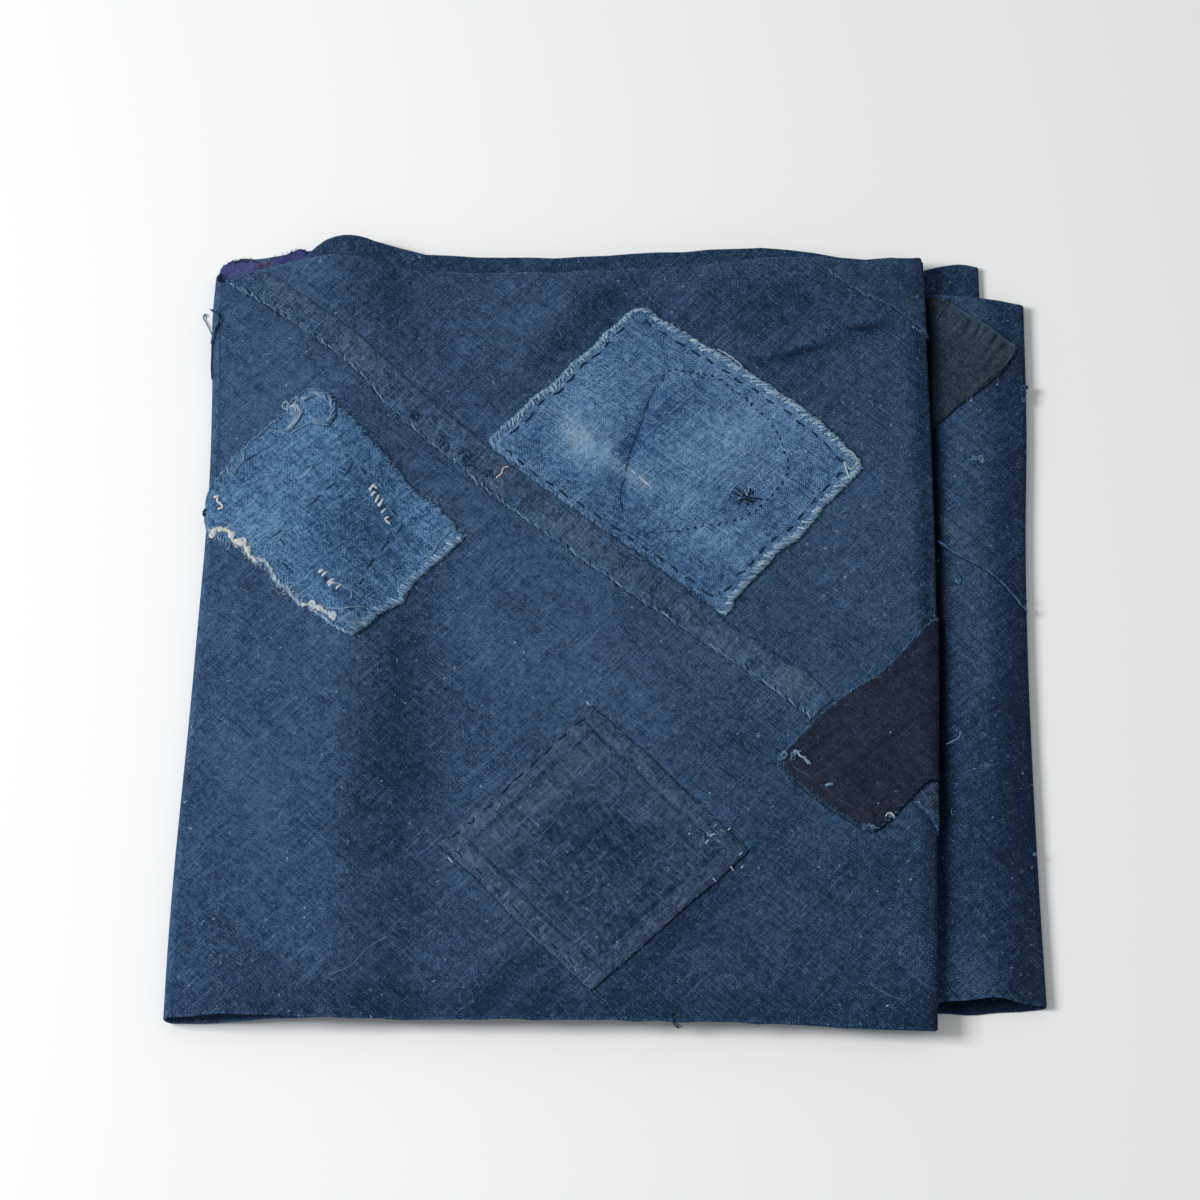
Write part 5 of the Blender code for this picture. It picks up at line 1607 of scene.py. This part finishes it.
# Each soft noise of a weave: its scale for each millimetre and its detail. The two
# that move a place also have how far they move it.
DRIFT = (0.09, 2, 2.2)        # the wander of the threads
RAGGED = (0.9, 1, 2.6)        # the ragged rims of the fluff
GRAIN = (1.3, 1)
MOTTLE = (0.16, 3)
CLOUD = (0.022, 2)
WEAR_PATCHES = (0.35, 3)
SMALL_CREASES = (0.22, 3)
STREAK = (0.8, 1)
STREAK_ALONG = 0.02           # how slowly the dye changes along a thread
PIECES_ALONG = 0.5            # the pieces of one tone for each millimetre of thread
PIECE_SHIFT = 9.0             # sets the pieces of two threads off from each other
PIECE_TONES = (0.62, 0.19)    # the spread of the pieces' tones, and the least
THICK_ACROSS = 0.55           # how fast thick places come and go, across and along
THICK_ALONG = 0.11
THICK_PLACES = (0.72, 0.82)   # the part of a noise that shows
SINGLE_ALONG = 0.025
SINGLE_PLACES = (0.70, 0.86)
SPECK_SCALE = 0.22
SPECK_SIZES = (0.17, -0.101)  # the spread of the fluff's sizes, and the least: below zero is none
HAIRS = (1.9, 1)
HAIR_PLACES = (0.70, 0.80)
HAIRY_PARTS = (0.4, 1)
HAIRY_PLACES = (0.45, 0.65)


def thread_run(graph, place, pitch, turn):
    """The threads of one way of a weave: their wave over and under the others, their
    streaks of dye, their thick places and the few pale ones."""
    turn = math.radians(turn)
    along = graph.vector("DOT_PRODUCT", place, (math.cos(turn), math.sin(turn), 0))
    across = graph.vector("DOT_PRODUCT", place, (-math.sin(turn), math.cos(turn), 0))
    across = graph.math("DIVIDE", across, pitch)
    wave = graph.math("SINE", graph.math("MULTIPLY", across, math.pi))
    slow = graph.math("MULTIPLY", along, STREAK_ALONG)
    long_streak = graph.noise(graph.pair(across, slow), *STREAK)
    index = graph.math("FLOOR", across)
    own = graph.node("TexWhiteNoise", {"W": index}, noise_dimensions="1D").outputs["Value"]
    length = graph.math("MULTIPLY", along, PIECES_ALONG)
    length = graph.math("MULTIPLY_ADD", own, PIECE_SHIFT, length)
    piece = graph.pair(index, graph.math("FLOOR", length))
    piece = graph.node("TexWhiteNoise", {"Vector": piece}, noise_dimensions="2D")
    short_streak = graph.math("MULTIPLY_ADD", piece.outputs["Value"], *PIECE_TONES)
    thick = graph.noise(graph.pair(graph.math("MULTIPLY", across, THICK_ACROSS),
                                   graph.math("MULTIPLY", along, THICK_ALONG)), 1.0)
    single = graph.noise(graph.pair(index, graph.math("MULTIPLY", along, SINGLE_ALONG)), 1.0)
    single = graph.range(single, *SINGLE_PLACES)
    return wave, graph.math("ADD", long_streak, short_streak), thick, single


def fluff_share(graph, flat, amount):
    """Where pale fluff and hairs lie on a cloth."""
    ragged = graph.moved(flat, *RAGGED)
    specks = graph.node(
        "TexVoronoi", {"Vector": ragged, "Scale": SPECK_SCALE, "Randomness": 1.0},
        voronoi_dimensions="2D")
    chance = graph.node("SeparateColor", {0: specks.outputs["Color"]})
    size = graph.math("MULTIPLY_ADD", chance.outputs[0], *SPECK_SIZES)
    fluff = graph.math("MULTIPLY", graph.math("LESS_THAN", specks.outputs["Distance"], size),
                       graph.range(chance.outputs[1], 0, 1, 0.35, 1.0))
    hairs = graph.math("MULTIPLY", graph.range(graph.noise(flat, *HAIRS), *HAIR_PLACES),
                       graph.range(graph.noise(flat, *HAIRY_PARTS), *HAIRY_PLACES))
    return graph.math("MULTIPLY", graph.math("MAXIMUM", fluff, hairs), amount, clamp=True)


def woven(weave):
    """A plain weave of uneven dyed threads, with fluff, thick places and worn cloth, painted shade
    between the threads, and painted shade towards black where the tone goes below zero.
    """
    graph = Graph(weave.name)
    flat = graph.node("UVMap", uv_map="weave").outputs[0]
    flat = graph.vector("SCALE", flat, scale=1 / MM)
    place = graph.moved(flat, *DRIFT)
    runs = [thread_run(graph, place, weave.pitch, turn) for turn in weave.turns]
    (wave_one, streak_one, thick_one, _), (wave_two, streak_two, thick_two, single) = runs
    crossing = graph.math("MULTIPLY", wave_one, wave_two)
    upper = graph.range(crossing, -0.25, 0.25)
    streaks = graph.node("Mix", {0: upper, 2: streak_two, 3: streak_one}).outputs[0]
    grain = graph.noise(flat, *GRAIN)
    mottle = graph.noise(flat, *MOTTLE)
    cloud = graph.noise(flat, *CLOUD)
    crown = graph.math("ABSOLUTE", crossing)
    tone = graph.attribute("tone")
    for value, middle, amount in (
            (streaks, 1.0, weave.uneven), (grain, 0.5, weave.uneven * GRAIN_SHARE),
            (mottle, 0.5, MOTTLE_TONE), (cloud, 0.5, CLOUD_TONE), (crown, 0.4, THREAD_GAP_PAINTED_SHADE),
            (upper, 0.5, FACE_TONE)):
        offset = graph.math("SUBTRACT", value, middle)
        tone = graph.math("MULTIPLY_ADD", offset, amount, tone)
    slubs = graph.math("MAXIMUM", graph.range(thick_one, *THICK_PLACES),
                       graph.range(thick_two, *THICK_PLACES))
    tone = graph.math("MULTIPLY_ADD", slubs, SLUB_TONE * weave.slub, tone)
    tone = graph.math("MULTIPLY_ADD", single, SINGLE_TONE, tone)
    low = graph.range(tone, 0.0, 0.5)
    high = graph.range(tone, 0.5, 1.0)
    colour = graph.blend(high, graph.blend(low, weave.dark, weave.middle), weave.pale)
    patchy = graph.range(graph.noise(flat, *WEAR_PATCHES), 0.35, 0.65, 0.25, 1.0)
    wear = graph.math("MULTIPLY", graph.attribute("wear"), patchy, clamp=True)
    worn = graph.blend(graph.range(tone, 0.2, 0.9),
                       *([part * shade for part in weave.worn] for shade in WORN_SHADES))
    colour = graph.blend(wear, colour, worn)
    colour = graph.blend(fluff_share(graph, flat, weave.fluff), colour, FLUFF_COLOUR)
    # Painted shade: where the tone attribute is below zero, the colour goes towards black, standing
    # in for shadow under folds and in openings.
    deep = graph.range(graph.attribute("tone"), -0.8, 0.0, 0.12, 1.0)
    colour = graph.blend(deep, (0.0, 0.0, 0.0), colour)
    height = graph.math("MULTIPLY", crown, CROWN_RELIEF)
    for value, rise in ((grain, GRAIN_RELIEF),
                        (graph.noise(flat, *SMALL_CREASES), CREASE_RELIEF * weave.crumple),
                        (slubs, SLUB_RELIEF)):
        height = graph.math("MULTIPLY_ADD", value, rise, height)
    bump = graph.node("Bump", {"Strength": 1.0, "Distance": 0.001, "Height": height})
    graph.tree.links.new(bump.outputs[0], graph.shader.inputs["Normal"])
    return graph.finish(colour, 0.92, 0.1)


THREAD_COLOURS = ((0.0, (0.004, 0.008, 0.022)), (0.3, (0.020, 0.055, 0.125)),
                  (0.5, (0.058, 0.145, 0.275)), (0.7, (0.180, 0.310, 0.450)),
                  (0.85, (0.400, 0.525, 0.620)), (1.0, (0.700, 0.640, 0.565)))


def thread_material():
    """Twisted thread, from nearly black through blue to cream by its tone."""
    graph = Graph("thread")
    flat = graph.node("UVMap", uv_map="weave").outputs[0]
    parts = graph.node("SeparateXYZ", {0: graph.vector("SCALE", flat, scale=1 / MM)})
    turn = graph.math("MULTIPLY_ADD", parts.outputs[0], 7.0, parts.outputs[1])
    ply = graph.math("SINE", graph.math("MULTIPLY", turn, 2.0))
    tone = graph.math("MULTIPLY_ADD", ply, 0.04, graph.attribute("tone"))
    ramp = graph.node("ValToRGB", {0: tone})
    stops = ramp.color_ramp.elements
    for number, (place, colour) in enumerate(THREAD_COLOURS):
        stop = stops[number] if number < 2 else stops.new(place)
        stop.position = place
        stop.color = (*colour, 1)
    return graph.finish(ramp.outputs[0], 0.85, 0.2)


def plain_material(name, colour):
    """A plain matt material."""
    material = bpy.data.materials.new(name)
    material.use_nodes = True
    shader = material.node_tree.nodes["Principled BSDF"]
    shader.inputs["Base Color"].default_value = (*colour, 1)
    shader.inputs["Roughness"].default_value = 0.9
    return material


# The camera, the floor and the light.
CAMERA_PLACE = (0.0048, -0.6598, 1.510)
CAMERA_TILT = math.radians(66)        # below level
CAMERA_TURN = math.radians(0.965)     # to the left of the y axis
CAMERA_LENS = 105                     # in mm
CAMERA_SENSOR = 36
FLOOR_REACH = 4.0
FLOOR_COLOUR = (0.95, 0.955, 0.95)
LIGHT_PLACE = (-2.0, -0.06, 1.6)
LIGHT_SIZE = 0.9
LIGHT_POWER = 57
WORLD_COLOUR = (0.96, 0.98, 1, 1)
WORLD_STRENGTH = 0.39


def add_camera():
    """A camera at the photograph's place and angle."""
    camera = bpy.data.objects.new("camera", bpy.data.cameras.new("camera"))
    bpy.context.scene.collection.objects.link(camera)
    camera.data.sensor_width = CAMERA_SENSOR
    camera.data.lens = CAMERA_LENS
    turn = Matrix.Rotation(CAMERA_TURN, 4, "Z")
    tilt = Matrix.Rotation(math.pi / 2 - CAMERA_TILT, 4, "X")
    camera.matrix_world = Matrix.Translation(CAMERA_PLACE) @ turn @ tilt
    bpy.context.scene.camera = camera


def add_floor():
    """A plain pale floor."""
    mesh = bpy.data.meshes.new("floor")
    corners = [(x * FLOOR_REACH, y * FLOOR_REACH, 0)
               for x, y in ((-1, -1), (1, -1), (1, 1), (-1, 1))]
    mesh.from_pydata(corners, [], [(0, 1, 2, 3)])
    floor = bpy.data.objects.new("floor", mesh)
    bpy.context.scene.collection.objects.link(floor)
    mesh.materials.append(plain_material("floor_paint", FLOOR_COLOUR))


def add_light():
    """A soft light that faces the cloth."""
    data = bpy.data.lights.new("window", "AREA")
    data.shape = "RECTANGLE"
    data.size = LIGHT_SIZE
    data.size_y = LIGHT_SIZE
    data.energy = LIGHT_POWER
    light = bpy.data.objects.new("window", data)
    bpy.context.scene.collection.objects.link(light)
    place = Matrix.Translation(LIGHT_PLACE)
    towards = (place.translation * -1).to_track_quat("-Z", "Y").to_matrix().to_4x4()
    light.matrix_world = place @ towards


def add_world():
    """An even pale surround."""
    world = bpy.data.worlds.new("studio")
    world.use_nodes = True
    background = world.node_tree.nodes["Background"]
    background.inputs["Color"].default_value = WORLD_COLOUR
    background.inputs["Strength"].default_value = WORLD_STRENGTH
    bpy.context.scene.world = world


add_camera()
add_floor()
add_light()
add_world()
bpy.context.scene.view_settings.view_transform = "Standard"

WEAVES = {"frayed": LIGHT_BLUE, "faded": FADED_BLUE, "hemmed": GREY_INDIGO,
          "dark": VIOLET_BLACK, "olive": DARK_OLIVE, "purple": PURPLE_CLOTH,
          "strip": STRIP_BLUE, "panel": PANEL_BLUE}

cloth, cloth_size = build_sheet(woven(INDIGO))
weave_materials = {slot: woven(weave) for slot, weave in WEAVES.items()}
sewn = {}
for number, patch in enumerate(PATCHES):
    sewn[patch.name] = build_patch(patch, weave_materials[patch.slot], 100 + 10 * number)
with_pieces = {name: [] for name in sewn}
with_pieces["strip"].append(sewn["strip_end"].piece)
thread = thread_material()
for name, sew in SEWN_THREADS.items():
    made = sewn[name]
    with_pieces[name].append(sew(made).build(name + "_threads", thread, made.slot))
cloth_threads = sew_cloth().build("cloth_threads", thread, "cloth")
